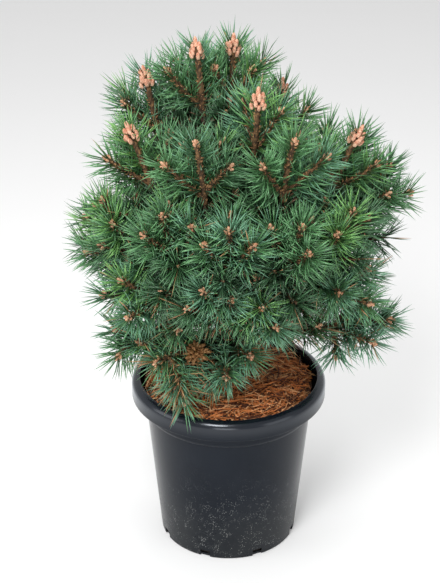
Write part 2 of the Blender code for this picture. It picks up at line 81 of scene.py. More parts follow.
# Pot
POT_FOOT_RADIUS = 0.1148
POT_COLLAR_RADIUS = 0.1372
POT_SHOULDER_RADIUS = 0.1405
POT_COLLAR_HEIGHT = 0.237
POT_COLLAR_STEP = 0.003
POT_WALL = 0.0025
POT_FLOOR = 0.004
POT_SIDES = 180
RIM_MOUTH_RADIUS = 0.1474
RIM_HANG = 0.0325
RIM_ROUND = 0.0125
RIM_LIP = 0.0010
RIM_ARC_STEPS = 6
RIM_UNDERCUT = 0.019
NOTCH_COUNT = 8
NOTCH_WIDTH = 0.017
NOTCH_HEIGHT = 0.013
NOTCH_DEPTH = 0.008
NOTCH_TURN = 25

# Litter of dead needles
LITTER_EDGE_TOP = 0.277
LITTER_MOUND = 0.008
LITTER_SIDES = 96
LITTER_RINGS = 30
LITTER_ROUGHNESS = 0.0016
STRAW_LENGTH = 0.050
STRAW_RADIUS = 0.0011
STRAW_BENDS = (6, 18, 36)
STRAW_EDGE = 0.0035
Straw = namedtuple("Straw", "name count colour")
STRAWS = (
    Straw("straw_rust", 2500, (0.500, 0.165, 0.045)),
    Straw("straw_tan", 1100, (0.700, 0.360, 0.165)),
    Straw("straw_dark", 1800, (0.075, 0.021, 0.007)),
)

# Trunk and boughs, by the rule of the solids
CLEARANCE = 0.0003
TRUNK_FOOT_RADIUS = 0.0165
TRUNK_TIP_RADIUS = 0.0085
TRUNK_FLARE = 0.007
TRUNK_FLARE_HEIGHT = 0.022
TRUNK_LEAN = (-0.014, 0.012)
TRUNK_SWAY = 0.006
TRUNK_POINTS = 60
BOUGH_LOWEST = 0.318
BOUGH_HIGHEST = 0.608
BOUGH_STAGGER = 0.016
STAGGER_ORDER = (0, 1, -1)
STEM_DROP = 0.028
BOUGH_BASE_RADIUS = 0.0055
BOUGH_TIP_RADIUS = 0.0040
BOUGH_BEND = 0.45
BOUGH_STRAIGHT = 0.006
BOUGH_POINTS = 24

# Crown, by the rule of the solids: rings of masses, each with a leader
CROWN_BOTTOM = 0.36
CROWN_TOP = 0.85
CROWN_SHIFT = 0.014
STEEPEST_SHOOT = 84
STEEPNESS_CURVE = 0.7
REACH_LOST_TO_RISE = 0.5
Leader = namedtuple("Leader", "azimuth rise roll inset", defaults=(0.0,))
Ring = namedtuple("Ring", "name height reach leaders")
RINGS = (
    Ring("apex", 0.845, 0.072, (
        Leader(162, 0.008, 10), Leader(96, -0.004, 60), Leader(-72, -0.034, 200))),
    Ring("shoulder", 0.765, 0.168, (
        Leader(-159, -0.015, 60), Leader(-112, 0.000, 40), Leader(-62, 0.000, 60),
        Leader(-9, -0.033, 60), Leader(66, -0.026, 0), Leader(112, 0.000, 30),
        Leader(163, 0.035, 0))),
    Ring("waist", 0.655, 0.222, (
        Leader(-155, -0.005, 90), Leader(-121, 0.010, 60), Leader(-94, 0.003, 90),
        Leader(-66, 0.000, 150), Leader(-41, 0.000, 90), Leader(4, 0.006, 60, -0.018),
        Leader(58, -0.010, 0), Leader(117, 0.000, 60), Leader(178, -0.080, 0, 0.022))),
    Ring("belly", 0.545, 0.226, (
        Leader(-141, -0.005, 100), Leader(-104, 0.012, 70), Leader(-80, -0.022, 0, 0.036),
        Leader(-30, 0.000, 60), Leader(40, -0.025, 30), Leader(106, -0.035, 0))),
)
LowBough = namedtuple("LowBough", "name azimuth height reach pitch roll sides")
LOW_BOUGHS = (
    LowBough("drooping", -136, 0.385, 0.178, 4, 250, 3),
    LowBough("low_front", -98, 0.362, 0.132, -6, 140, 2),
    LowBough("long_right", -10, 0.418, 0.248, 14, 90, 3),
    LowBough("low_left", -165, 0.407, 0.203, 24, 60, 3),
)
LEADER_LENGTH = 0.110
SIDE_LENGTH = 0.092
SIDE_SPREAD_CLOSE = 32
SIDE_SPREAD_OPEN = 44
SIDE_LIFT = 0.22
SIDE_FOOT = 0.012
SIDES_CLOSE = 3
SIDES_OPEN = 5
OPEN_GAP = 42

# Finer twigs: a second whorl round each fork, and whorls further down the bough. None hangs into the
# open room over the litter.
Whorl = namedtuple("Whorl", "drop count length spread")
FINER_WHORLS = (
    Whorl(0.000, 3, 0.072, 56), Whorl(0.045, 4, 0.084, 50), Whorl(0.090, 3, 0.074, 52))
CROWDED_TIER = "waist"
WHORL_SWING = 14
SHORTEST_SHARE = 0.86
OPEN_ROOM_TOP = 0.45
LOWEST_AXIS = -0.12
Hanging = namedtuple("Hanging", "mass share tip bow")
HANGING = (
    Hanging("drooping", 0.75, (-0.068, -0.137, 0.318), (0.0, -0.003, 0.008)),
    Hanging("low_left", 0.50, (-0.176, -0.085, 0.374), (-0.003, 0.0, 0.005)),
    Hanging("long_right", 0.10, (0.173, -0.050, 0.356), (0.003, 0.0, 0.004)),
)

# Stems of the shoots
Stem = namedtuple("Stem", "foot tip")
LEADER_STEM = Stem(0.0052, 0.0040)
SIDE_STEM = Stem(0.0042, 0.0033)
FINER_STEM = Stem(0.0034, 0.0026)
STEM_POINTS = 9
STEM_BOW = 0.05
Twigs = namedtuple("Twigs", "name spacing sides kinds")
TWIGS = (
    Twigs("twigs", 0.0032, 8, ("leader", "side")),
    Twigs("fine_twigs", 0.0060, 5, ("finer",)),
)

# Brown sheaths round the feet of the needles, which make the stems bristly
SHEATH_LENGTH = 0.0105
SHEATH_RADIUS = 0.0012
SHEATH_SPACING = 0.0013
SHEATH_ANGLE = 42

# Needles, in pairs
NEEDLE_LENGTH = 0.057
NEEDLE_RADIUS = 0.00098
OUTER_SPACING = 0.00118
FINER_SPACING = 0.00140
BOUGH_SPACING = 0.0024
LEADER_THINNING = 0.30
PAIR_ANGLE = 6
OPEN_ANGLE = 72
TIP_ANGLE = 44
ANGLE_JITTER = 12
GOLDEN_ANGLE = 137.508
NEEDLE_LIFT = 0.06
NEEDLE_BENDS = (0, 3, 8)
GROUND_MARGIN = 0.004
BOX_MARGIN = 0.0015

# Openings among the needles, through which the bristly stems of the upper leaders show
WINDOW_FOOT = 0.030
WINDOW_TOP = 0.125
WINDOW_NEAR = 0.003
WINDOW_DEPTH = 0.085
WINDOW_WIDTH = 0.018
WINDOW_KEPT = 0.06

# Buds
CANDLE_LENGTH = 0.021
CANDLE_RADIUS = 0.0037
SIDE_BUD_LENGTH = 0.0135
SIDE_BUD_RADIUS = 0.0035
SMALL_BUD_LENGTH = 0.012
SMALL_BUD_RADIUS = 0.0028
BudRing = namedtuple("BudRing", "count drop offset splay")
CANDLE_TIERS = ("apex", "shoulder")
BLUNT_LEADERS = ("shoulder_2", "shoulder_3")
CANDLE_DROP = 0.004
CANDLE_RINGS = (BudRing(4, 0.004, 0.0062, 5), BudRing(5, 0.011, 0.0080, 9), BudRing(5, 0.017, 0.0084, 18))
SMALL_DROP = 0.002
SMALL_RINGS = (BudRing(4, 0.002, 0.0030, 24),)
BUDDED_SHARE = 0.35
SCALE_STAND = 1.10
SEED = 41

# Knot of dead growth, low in the crown
Knot = namedtuple("Knot", "mass place radius count flat")
DEAD_KNOT = Knot("drooping", (-0.052, -0.082, 0.380), 0.017, 90, 0.8)
KNOT_STEM = Stem(0.0030, 0.0022)

# Plain base colours, dealt out by spray. The darkest needle tint is painted shade, dealt to the finer shoots
# inside the crown.
NEEDLE_TINTS = {
    "shade": (0.020, 0.074, 0.026),
    "deep": (0.036, 0.122, 0.044),
    "mid": (0.068, 0.198, 0.070),
    "blue": (0.084, 0.220, 0.128),
    "fresh": (0.120, 0.285, 0.070),
    "dead": (0.330, 0.165, 0.065),
    "brown": (0.130, 0.062, 0.028),
}
SECOND_SHARE = 0.3
DEAD_SHARES = {"apex": 0.005, "shoulder": 0.005, "waist": 0.01, "belly": 0.02, "low": 0.03, "drooping": 0.22}
BOUGH_SHARES = {"deep": 0.40, "brown": 0.42, "dead": 0.18}
SHEATH_COLOUR = (0.330, 0.180, 0.075)
BUD_SALMON = (0.460, 0.145, 0.075)
BUD_CREAM = (0.860, 0.580, 0.410)
BUD_RUST = (0.380, 0.150, 0.070)
BUD_TAN = (0.780, 0.520, 0.340)
KNOT_BROWN = (0.230, 0.085, 0.024)
KNOT_TAN = (0.600, 0.340, 0.140)


class Wire:
    """One socket of a node tree, so that maths on it reads as an expression."""

    def __init__(self, graph, socket):
        self.graph = graph
        self.socket = socket

    def out(self, name):
        """Another output of the same node."""
        outputs = self.socket.node.outputs
        return Wire(self.graph, next(s for s in outputs if s.enabled and s.name == name))

    def maths(self, operation, *values):
        return self.graph.node("ShaderNodeMath", {"operation": operation}, dict(enumerate(values)))

    def __add__(self, other):
        return self.maths("ADD", self, other)

    def __sub__(self, other):
        return self.maths("SUBTRACT", self, other)

    def __rsub__(self, other):
        return self.maths("SUBTRACT", other, self)

    def __mul__(self, other):
        return self.maths("MULTIPLY", self, other)

    def __truediv__(self, other):
        return self.maths("DIVIDE", self, other)

    def __pow__(self, other):
        return self.maths("POWER", self, other)

    __radd__ = __add__
    __rmul__ = __mul__

    def clamp(self):
        """The same value held between 0 and 1."""
        return self.graph.node("ShaderNodeClamp", {}, {"Value": self})

    def step(self, low, high):
        """0 below a low value, 1 above a high one and smooth between them."""
        limits = {"Value": self, "From Min": low, "From Max": high}
        return self.graph.node("ShaderNodeMapRange", {"interpolation_type": "SMOOTHSTEP"}, limits)


class Graph:
    """A node tree that is written from its inputs to its output."""

    def __init__(self, tree):
        self.tree = tree

    def node(self, kind, settings=None, sockets=None):
        """Add a node: its settings first, then a value or a wire for each of its sockets."""
        made = self.tree.nodes.new(kind)
        for name, value in (settings or {}).items():
            setattr(made, name, value)
        for name, value in (sockets or {}).items():
            live = [socket for socket in made.inputs if socket.enabled]
            target = live[name] if isinstance(name, int) else next(s for s in live if s.name == name)
            if isinstance(value, Wire):
                self.tree.links.new(value.socket, target)
            else:
                target.default_value = value
        outputs = [socket for socket in made.outputs if socket.enabled]
        return Wire(self, outputs[0]) if outputs else made


class Finish(Graph):
    """A material: a Principled shader whose colour and roughness may vary over the surface."""

    def __init__(self, name, roughness, **constants):
        self.material = bpy.data.materials.new(name)
        self.material.use_nodes = True
        super().__init__(self.material.node_tree)
        self.shader = self.tree.nodes["Principled BSDF"]
        self.shader.inputs["Roughness"].default_value = roughness
        for label, value in constants.items():
            self.shader.inputs[label.replace("_", " ").title().replace("Ior", "IOR")].default_value = value
        self.place = self.node("ShaderNodeTexCoord").out("Object")

    def feed(self, name, wire):
        """Join a wire to one of the shader's sockets."""
        self.tree.links.new(wire.socket, self.shader.inputs[name])

    def noise(self, scale, detail=3.0, roughness=0.5, vector=None):
        sockets = {"Vector": vector or self.place, "Scale": scale, "Detail": detail, "Roughness": roughness}
        return self.node("ShaderNodeTexNoise", {}, sockets)

    def cells(self, scale, vector=None):
        return self.node("ShaderNodeTexVoronoi", {}, {"Vector": vector or self.place, "Scale": scale})

    def stretched(self, scale):
        """Object coordinates, scaled along each axis."""
        return self.node("ShaderNodeMapping", {}, {"Vector": self.place, "Scale": scale})

    def attribute(self, name):
        return self.node("ShaderNodeAttribute", {"attribute_name": name}).out("Fac")

    def mix(self, factor, first, second):
        """Blend of two colours, each a plain colour or a wire."""
        sockets = {"Factor": factor}
        for label, colour in (("A", first), ("B", second)):
            sockets[label] = colour if isinstance(colour, Wire) else (*colour, 1.0)
        return self.node("ShaderNodeMix", {"data_type": "RGBA"}, sockets)

    def bump(self, height, strength, distance):
        """Surface relief too fine for the mesh."""
        sockets = {"Height": height, "Strength": strength, "Distance": distance}
        self.feed("Normal", self.node("ShaderNodeBump", {}, sockets))


class Recipe(Graph):
    """A Geometry Nodes tree with named inputs."""

    def __init__(self, name, **inputs):
        super().__init__(bpy.data.node_groups.new(name, "GeometryNodeTree"))
        sockets = self.tree.interface
        sockets.new_socket("Geometry", in_out="INPUT", socket_type="NodeSocketGeometry")
        for label, kind in inputs.items():
            sockets.new_socket(label, in_out="INPUT", socket_type="NodeSocket" + kind)
        sockets.new_socket("Geometry", in_out="OUTPUT", socket_type="NodeSocketGeometry")
        self.start = self.tree.nodes.new("NodeGroupInput")

    def given(self, label):
        """Wire of a named input."""
        return Wire(self, self.start.outputs[label])

    def attribute(self, name, kind="FLOAT"):
        return self.node("GeometryNodeInputNamedAttribute", {"data_type": kind}, {"Name": name})

    def store(self, geometry, name, value):
        """Keep a number at each point under a name."""
        sockets = {"Geometry": geometry, "Name": name, "Value": value}
        return self.node("GeometryNodeStoreNamedAttribute", {"data_type": "FLOAT", "domain": "POINT"}, sockets)

    def close(self, geometry):
        """Realize what the recipe made, give it its material and end the tree."""
        solid = self.node("GeometryNodeRealizeInstances", {}, {"Geometry": geometry})
        sockets = {"Geometry": solid, "Material": self.given("finish")}
        painted = self.node("GeometryNodeSetMaterial", {}, sockets)
        end = self.tree.nodes.new("NodeGroupOutput")
        self.tree.links.new(painted.socket, end.inputs["Geometry"])
        return self


def link_piece(name, mesh, *finishes):
    """New object of this plant, at the origin, that rides on its body."""
    item = bpy.data.objects.new(name, mesh)
    bpy.context.scene.collection.objects.link(item)
    for finish in finishes:
        mesh.materials.append(finish)
    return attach(item, "root")


def follow(recipe, name, mesh, slot, **values):
    """Run a recipe on a mesh and keep the result as a plain piece."""
    source = bpy.data.objects.new(name + "_source", mesh)
    bpy.context.scene.collection.objects.link(source)
    modifier = source.modifiers.new(recipe.tree.name, "NODES")
    modifier.node_group = recipe.tree
    for socket in recipe.tree.interface.items_tree:
        if socket.in_out == "INPUT" and socket.name in values:
            modifier[socket.identifier] = values[socket.name]
    bpy.context.view_layer.update()
    made = bpy.data.meshes.new_from_object(source.evaluated_get(bpy.context.evaluated_depsgraph_get()))
    source.modifiers.remove(modifier)
    bpy.data.objects.remove(source, do_unlink=True)
    for spent in ("way", "bow", "size", "shape", "thickness", "along", "around"):
        if spent in made.attributes:
            made.attributes.remove(made.attributes[spent])
    item = link_piece(name, made)
    return item


def blend(start, end, share):
    """Value between two numbers or vectors."""
    return start + (end - start) * share


def direction(azimuth, pitch):
    """Unit vector at an azimuth and a pitch above the level."""
    turn, lift = math.radians(azimuth), math.radians(pitch)
    return Vector((math.cos(turn) * math.cos(lift), math.sin(turn) * math.cos(lift), math.sin(lift)))


def shoot_pitch(height):
    """Shoots stand upright at the top of the crown and lie nearly level at its foot."""
    share = max(0.0, (height - CROWN_BOTTOM) / (CROWN_TOP - CROWN_BOTTOM))
    return STEEPEST_SHOOT * share ** STEEPNESS_CURVE


def side_frame(axis):
    """Two unit vectors square to an axis: one level, one upward."""
    level = axis.cross(Vector((0, 0, 1)))
    level = level.normalized() if level.length > 0.001 else Vector((1, 0, 0))
    return level, level.cross(axis).normalized()


def cone_direction(axis, spread, roll):
    """Unit vector at an angle from an axis, turned round it by a roll."""
    level, upward = side_frame(axis)
    turn, lean = math.radians(roll), math.radians(spread)
    return axis * math.cos(lean) + (level * math.cos(turn) + upward * math.sin(turn)) * math.sin(lean)


def trunk_point(height):
    """Middle of the trunk at a height: upright at its foot, then leaning with a slight sway."""
    share = (height - SOIL_TOP) / (TRUNK_TOP - SOIL_TOP)
    bend = share ** 2 * (3 - 2 * share)
    sway = TRUNK_SWAY * math.sin(math.pi * share) ** 2
    return Vector((TRUNK_LEAN[0] * bend + sway, TRUNK_LEAN[1] * bend, height))


def trunk_radius(height):
    """Radius of the trunk at a height, with the root flare at its foot."""
    share = (height - SOIL_TOP) / (TRUNK_TOP - SOIL_TOP)
    flare = TRUNK_FLARE * math.exp(-(height - SOIL_TOP) / TRUNK_FLARE_HEIGHT)
    return blend(TRUNK_FOOT_RADIUS, TRUNK_TIP_RADIUS, share) + flare


Mass = namedtuple("Mass", "name tier tip axis fork roll sides start has_bough")


def make_mass(name, tier, azimuth, height, reach, pitch, roll, sides, stagger):
    """Places of one mass: its leader's tip and axis, its fork and its bough's start."""
    level = direction(azimuth, 0.0)
    tip = Vector((level.x * reach + CROWN_SHIFT, level.y * reach, height))
    axis = direction(azimuth, pitch)
    has_bough = tier != RINGS[0].name
    share = max(0.0, (height - CROWN_BOTTOM) / (CROWN_TOP - CROWN_BOTTOM))
    if has_bough:
        start = blend(BOUGH_LOWEST, BOUGH_HIGHEST, share) + stagger * BOUGH_STAGGER
    else:
        start = TRUNK_TOP - STEM_DROP + max(0, stagger) * BOUGH_STAGGER
    return Mass(name, tier, tip, axis, tip - axis * LEADER_LENGTH, roll, sides, start, has_bough)


def neighbour_gap(azimuths, index):
    """Half of the angle between the two neighbours of one leader in its ring."""
    before = azimuths[index - 1]
    after = azimuths[(index + 1) % len(azimuths)]
    return ((after - before) % 360 or 360) / 2


def crown_masses():
    """Every mass of the crown, worked out from the rings and the low boughs."""
    masses = []
    for ring in RINGS:
        azimuths = [leader.azimuth for leader in ring.leaders]
        for index, leader in enumerate(ring.leaders):
            height = ring.height + leader.rise
            reach = ring.reach - REACH_LOST_TO_RISE * leader.rise - leader.inset
            sides = SIDES_OPEN if neighbour_gap(azimuths, index) > OPEN_GAP else SIDES_CLOSE
            masses.append(make_mass(f"{ring.name}_{index + 1}", ring.name, leader.azimuth, height, reach,
                                    shoot_pitch(height), leader.roll, sides, STAGGER_ORDER[index % 3]))
    for index, low in enumerate(LOW_BOUGHS):
        masses.append(make_mass(low.name, "low", low.azimuth, low.height, low.reach,
                                low.pitch, low.roll, low.sides, index % 2))
    return masses


def bough_line(mass):
    """Points of a bough: out of the trunk, bending up, then straight along its mass's axis."""
    start = trunk_point(mass.start)
    knee = mass.fork - mass.axis * BOUGH_STRAIGHT
    bend = knee - mass.axis * ((knee - start).length * BOUGH_BEND)
    points = []
    for i in range(BOUGH_POINTS - 1):
        share = i / (BOUGH_POINTS - 2)
        points.append(start * (1 - share) ** 2 + bend * (2 * share * (1 - share)) + knee * share ** 2)
    return points + [mass.fork]


def line_length(points):
    """Length of a line through points."""
    return sum((b - a).length for a, b in zip(points, points[1:]))


def along(points, shares):
    """Places and unit tangents at shares of a line's length, as arrays."""
    line = np.array([tuple(point) for point in points])
    steps = np.linalg.norm(np.diff(line, axis=0), axis=1)
    marks = np.concatenate(([0.0], np.cumsum(steps))) / steps.sum()
    places = np.stack([np.interp(shares, marks, line[:, k]) for k in range(3)], axis=1)
    tangents = np.gradient(line, marks, axis=0)
    ways = np.stack([np.interp(shares, marks, tangents[:, k]) for k in range(3)], axis=1)
    return places, ways / np.linalg.norm(ways, axis=1, keepdims=True)


Shoot = namedtuple("Shoot", "kind mass line stem")


def bowed_line(start, tip, bow):
    """Slightly bowed line from a shoot's foot to its bud."""
    shares = [i / (STEM_POINTS - 1) for i in range(STEM_POINTS)]
    return [blend(start, tip, share) + bow * (4 * share * (1 - share)) for share in shares]


def off_pot(point):
    """True above the rim, outside it, or over the litter within it."""
    reach = math.hypot(point.x, point.y)
    if point.z > POT_HEIGHT + GROUND_MARGIN or reach > RIM_RADIUS + GROUND_MARGIN:
        return True
    over_litter = point.z > LITTER_EDGE_TOP + LITTER_MOUND + GROUND_MARGIN
    return over_litter and reach < RIM_MOUTH_RADIUS - GROUND_MARGIN


def make_shoot(kind, mass, start, axis, length, stem, dice):
    """A shoot that grows from a foot along an axis, bowed a little to one side."""
    bow = cone_direction(axis, 90, dice.uniform(0, 360)) * (length * STEM_BOW * dice.uniform(0.2, 1.0))
    return Shoot(kind, mass, bowed_line(start, start + axis * length, bow), stem)


def mass_shoots(mass, dice):
    """Shoots of one mass: leader, the whorl round its fork and the finer whorls down its bough."""
    shoots = [make_shoot("leader", mass, mass.fork, mass.axis, LEADER_LENGTH, LEADER_STEM, dice)]
    origin = mass.fork + mass.axis * SIDE_FOOT
    spread = SIDE_SPREAD_OPEN if mass.sides == SIDES_OPEN else SIDE_SPREAD_CLOSE
    for index in range(mass.sides):
        axis = cone_direction(mass.axis, spread, mass.roll + 360 * index / mass.sides)
        axis = (axis + Vector((0, 0, SIDE_LIFT)) * mass.axis.z).normalized()
        length = SIDE_LENGTH * dice.uniform(SHORTEST_SHARE, 1.0)
        shoots.append(make_shoot("side", mass, origin, axis, length, SIDE_STEM, dice))
    limb = bough_line(mass)
    reach = line_length(limb)
    for number, whorl in enumerate(FINER_WHORLS):
        share = 1.0 - whorl.drop / reach
        if share < 0.3 or (whorl.drop == 0.0 and mass.tier != CROWDED_TIER):
            continue
        places, ways = along(limb, [share])
        foot, tangent = Vector(places[0]), Vector(ways[0])
        for index in range(whorl.count):
            roll = mass.roll + 60 * (number + 1) + 360 * index / whorl.count + dice.uniform(-1, 1) * WHORL_SWING
            axis = cone_direction(tangent, whorl.spread, roll)
            axis = (axis + Vector((0, 0, SIDE_LIFT))).normalized()
            length = whorl.length * dice.uniform(SHORTEST_SHARE, 1.0)
            hangs = foot.z + axis.z * length < OPEN_ROOM_TOP and mass.tier != "low"
            if not hangs and axis.z > LOWEST_AXIS:
                shoots.append(make_shoot("finer", mass, foot, axis, length, FINER_STEM, dice))
    return [shoot for shoot in shoots if all(off_pot(point) for point in shoot.line[2:])]


def hanging_shoots(masses):
    """Weak shoots that hang from the low leaders, one of them over the pot's rim."""
    named = {mass.name: mass for mass in masses}
    shoots = []
    for hanging in HANGING:
        mass = named[hanging.mass]
        foot = mass.fork + mass.axis * (LEADER_LENGTH * hanging.share)
        line = bowed_line(foot, Vector(hanging.tip), Vector(hanging.bow))
        shoots.append(Shoot("side", mass, line, FINER_STEM))
    return shoots


Window = namedtuple("Window", "foot axis way low high width")


def open_windows(masses):
    """Openings before the dead knot and the upper leaders; those of the hindmost leaders face outward."""
    windows = [Window(np.array(DEAD_KNOT.place), np.array(direction(90, 60)), np.array(direction(-90, 30)),
                      -DEAD_KNOT.radius, DEAD_KNOT.radius, 2 * DEAD_KNOT.radius)]
    for mass in masses:
        if mass.tier in CANDLE_TIERS:
            outward = Vector((mass.axis.x, mass.axis.y, 0.0)).normalized()
            hindmost = mass.has_bough and outward.y > 0.5
            facing = outward if hindmost else direction(-90, 0)
            way = (facing - mass.axis * facing.dot(mass.axis)).normalized()
            windows.append(Window(np.array(mass.fork), np.array(mass.axis), np.array(way),
                                  WINDOW_FOOT, WINDOW_TOP, WINDOW_WIDTH))
    return windows


def in_window(points, window):
    """True for each point in an opening."""
    offset = points - window.foot
    up, out, aside = offset @ window.axis, offset @ window.way, offset @ np.cross(window.axis, window.way)
    within = (up > window.low) & (up < window.high) & (out > WINDOW_NEAR) & (out < WINDOW_DEPTH)
    return within & (np.abs(aside) < window.width / 2)


def bars_window(shoot, windows):
    """True for a lesser shoot that grows across an opening."""
    line = np.array([tuple(point) for point in shoot.line[3:]])
    return shoot.kind != "leader" and any(in_window(line, window).any() for window in windows)


def unit(vectors):
    """Unit vectors of an array."""
    return vectors / np.maximum(np.linalg.norm(vectors, axis=1, keepdims=True), 1e-9)


def side_frames(axes):
    """For an array of axes, a level and an upward unit vector square to each."""
    level = np.cross(axes, (0.0, 0.0, 1.0))
    upright = np.linalg.norm(level, axis=1) < 0.001
    level[upright] = (1.0, 0.0, 0.0)
    level = unit(level)
    return level, unit(np.cross(level, axes))


Sprigs = namedtuple("Sprigs", "place way bow size shape")


def picked(sprigs, chosen):
    """The chosen ones of a set of sprigs."""
    return Sprigs(*(rows[chosen] for rows in sprigs))


def sprig_ends(sprigs, bends, length):
    """Pointed end of each sprig, with its bend."""
    swing = np.radians(np.array(bends)[sprigs.shape])[:, None]
    return sprigs.place + (sprigs.way * np.cos(swing) + sprigs.bow * np.sin(swing)) * sprigs.size[:, 2:] * length


def hides_stem(starts, ends, windows):
    """True for each needle that crosses an opening in front of a stem."""
    hides = np.zeros(len(starts), bool)
    for window in windows:
        for share in (0.1, 0.4, 0.7, 1.0):
            hides |= in_window(blend(starts, ends, share), window)
    return hides


def clear_of_pot(points):
    """True for each point above the rim, outside it, or over the litter within it."""
    reach = np.hypot(points[:, 0], points[:, 1])
    free = (points[:, 2] > POT_HEIGHT + GROUND_MARGIN) | (reach > RIM_RADIUS + GROUND_MARGIN)
    inside = (points[:, 2] > LITTER_EDGE_TOP + LITTER_MOUND) & (reach < RIM_MOUTH_RADIUS - GROUND_MARGIN)
    return free | inside


def in_box(points):
    """True for each point inside the box of the solids."""
    low, high = (np.array(corner) for corner in solid_box)
    return ((points > low + BOX_MARGIN) & (points < high - BOX_MARGIN)).all(axis=1)


def shoot_needles(shoot, first, last, spacing, open_angle, tip_angle, length, rng):
    """Needle pairs of one shoot, which open at its foot and close round its bud."""
    count = max(4, int(line_length(shoot.line) * (last - first) / spacing))
    shares = np.linspace(first, last, count) + rng.uniform(-0.5, 0.5, count) * (last - first) / count
    place, axis = along(shoot.line, shares)
    lean = blend(open_angle, tip_angle, shares ** 1.5) + rng.normal(0.0, ANGLE_JITTER, count)
    roll = np.arange(count) * GOLDEN_ANGLE + rng.uniform(-20, 20, count) + rng.uniform(0, 360)
    lean, roll = np.radians(lean), np.radians(roll)
    level, upward = side_frames(axis)
    across = level * np.cos(roll)[:, None] + upward * np.sin(roll)[:, None]
    way = axis * np.cos(lean)[:, None] + across * np.sin(lean)[:, None]
    way = unit(way + np.array((0.0, 0.0, NEEDLE_LIFT)))
    twist = rng.uniform(0, math.pi, count)
    first_side, second_side = side_frames(way)
    apart = first_side * np.cos(twist)[:, None] + second_side * np.sin(twist)[:, None]
    opening = math.tan(math.radians(PAIR_ANGLE))
    ways = np.concatenate((unit(way + apart * opening), unit(way - apart * opening)))
    places = np.concatenate((place, place))
    axes = np.concatenate((axis, axis))
    bow = unit(axes - ways * (axes * ways).sum(axis=1, keepdims=True))
    lengths = length * rng.uniform(0.84, 1.04, 2 * count) * (1 - 0.15 * np.concatenate((shares, shares)) ** 4)
    shape = rng.integers(0, len(NEEDLE_BENDS), 2 * count)
    thick = rng.uniform(0.85, 1.15, 2 * count)
    sprigs = Sprigs(places, ways, bow, np.stack((thick, thick, lengths / NEEDLE_LENGTH), axis=1), shape)
    ends = sprig_ends(sprigs, NEEDLE_BENDS, NEEDLE_LENGTH)
    return picked(sprigs, clear_of_pot(ends) & in_box(ends) & clear_of_pot((places + ends) / 2))


def join_sprigs(parts):
    """One set of sprigs from several."""
    return Sprigs(*(np.concatenate(rows) for rows in zip(*parts)))


def sprig_points(name, sprigs):
    """Mesh of bare points that carries each sprig's way, bow, size and shape."""
    mesh = bpy.data.meshes.new(name)
    mesh.vertices.add(len(sprigs.place))
    mesh.vertices.foreach_set("co", sprigs.place.astype(np.float32).ravel())
    for label in ("way", "bow", "size"):
        values = getattr(sprigs, label).astype(np.float32)
        mesh.attributes.new(label, "FLOAT_VECTOR", "POINT").data.foreach_set("vector", values.ravel())
    mesh.attributes.new("shape", "INT", "POINT").data.foreach_set("value", sprigs.shape.astype(np.int32))
    return mesh


def make_kit(name, meshes):
    """Collection of the small shapes that a recipe sets out. It is in no scene."""
    kit = bpy.data.collections.new(name)
    for number, mesh in enumerate(meshes):
        kit.objects.link(bpy.data.objects.new(f"{name}_{number}", mesh))
    return kit


def set_out_recipe():
    """Recipe: a shape of a kit on each point, turned and sized by the point's attributes."""
    recipe = Recipe("set_out", kit="Collection", finish="Material")
    settings = {"transform_space": "ORIGINAL"}
    shapes = recipe.node("GeometryNodeCollectionInfo", settings, {
        "Collection": recipe.given("kit"), "Separate Children": True, "Reset Children": True})
    turn = recipe.node("FunctionNodeAxesToRotation", {"primary_axis": "Z", "secondary_axis": "X"}, {
        "Primary Axis": recipe.attribute("way", "FLOAT_VECTOR"),
        "Secondary Axis": recipe.attribute("bow", "FLOAT_VECTOR")})
    return recipe.close(recipe.node("GeometryNodeInstanceOnPoints", {}, {
        "Points": recipe.given("Geometry"), "Instance": shapes, "Pick Instance": True,
        "Instance Index": recipe.attribute("shape", "INT"), "Rotation": turn,
        "Scale": recipe.attribute("size", "FLOAT_VECTOR")}))


def limb_recipe():
    """Recipe: a tube along each line, with plates of bark that stand out of it."""
    recipe = Recipe("limb", spacing="Float", sides="Int", plate_width="Float", plate_length="Float",
                    relief="Float", finish="Material")
    line = recipe.node("GeometryNodeMeshToCurve", {}, {"Mesh": recipe.given("Geometry")})
    line = recipe.node("GeometryNodeResampleCurve", {"mode": "LENGTH"}, {
        "Curve": line, "Length": recipe.given("spacing")})
    line = recipe.store(line, "along", recipe.node("GeometryNodeSplineParameter").out("Length"))
    ring = recipe.node("GeometryNodeCurvePrimitiveCircle", {}, {
        "Resolution": recipe.given("sides"), "Radius": 1.0})
    ring = recipe.store(ring, "around", recipe.node("GeometryNodeSplineParameter").out("Factor"))
    thickness = recipe.attribute("thickness")
    tube = recipe.node("GeometryNodeCurveToMesh", {}, {
        "Curve": line, "Profile Curve": ring, "Scale": thickness, "Fill Caps": True})
    turn = recipe.attribute("around") * math.tau
    width = recipe.given("plate_width")
    place = recipe.node("ShaderNodeCombineXYZ", {}, {
        "X": turn.maths("COSINE", turn) * thickness / width,
        "Y": turn.maths("SINE", turn) * thickness / width,
        "Z": recipe.attribute("along") / recipe.given("plate_length") + recipe.attribute("limb") * 7.3})
    plates = recipe.node("ShaderNodeTexVoronoi", {}, {"Vector": place, "Scale": 1.0, "Randomness": 0.8})
    height = (1.0 - plates * 1.3).clamp()
    tube = recipe.store(tube, "relief", height)
    push = recipe.node("ShaderNodeVectorMath", {"operation": "SCALE"}, {
        "Vector": recipe.node("GeometryNodeInputNormal"), "Scale": (height - 0.45) * recipe.given("relief")})
    tube = recipe.node("GeometryNodeSetPosition", {}, {"Geometry": tube, "Offset": push})
    return recipe.close(recipe.node("GeometryNodeSetShadeSmooth", {}, {"Geometry": tube, "Shade Smooth": True}))


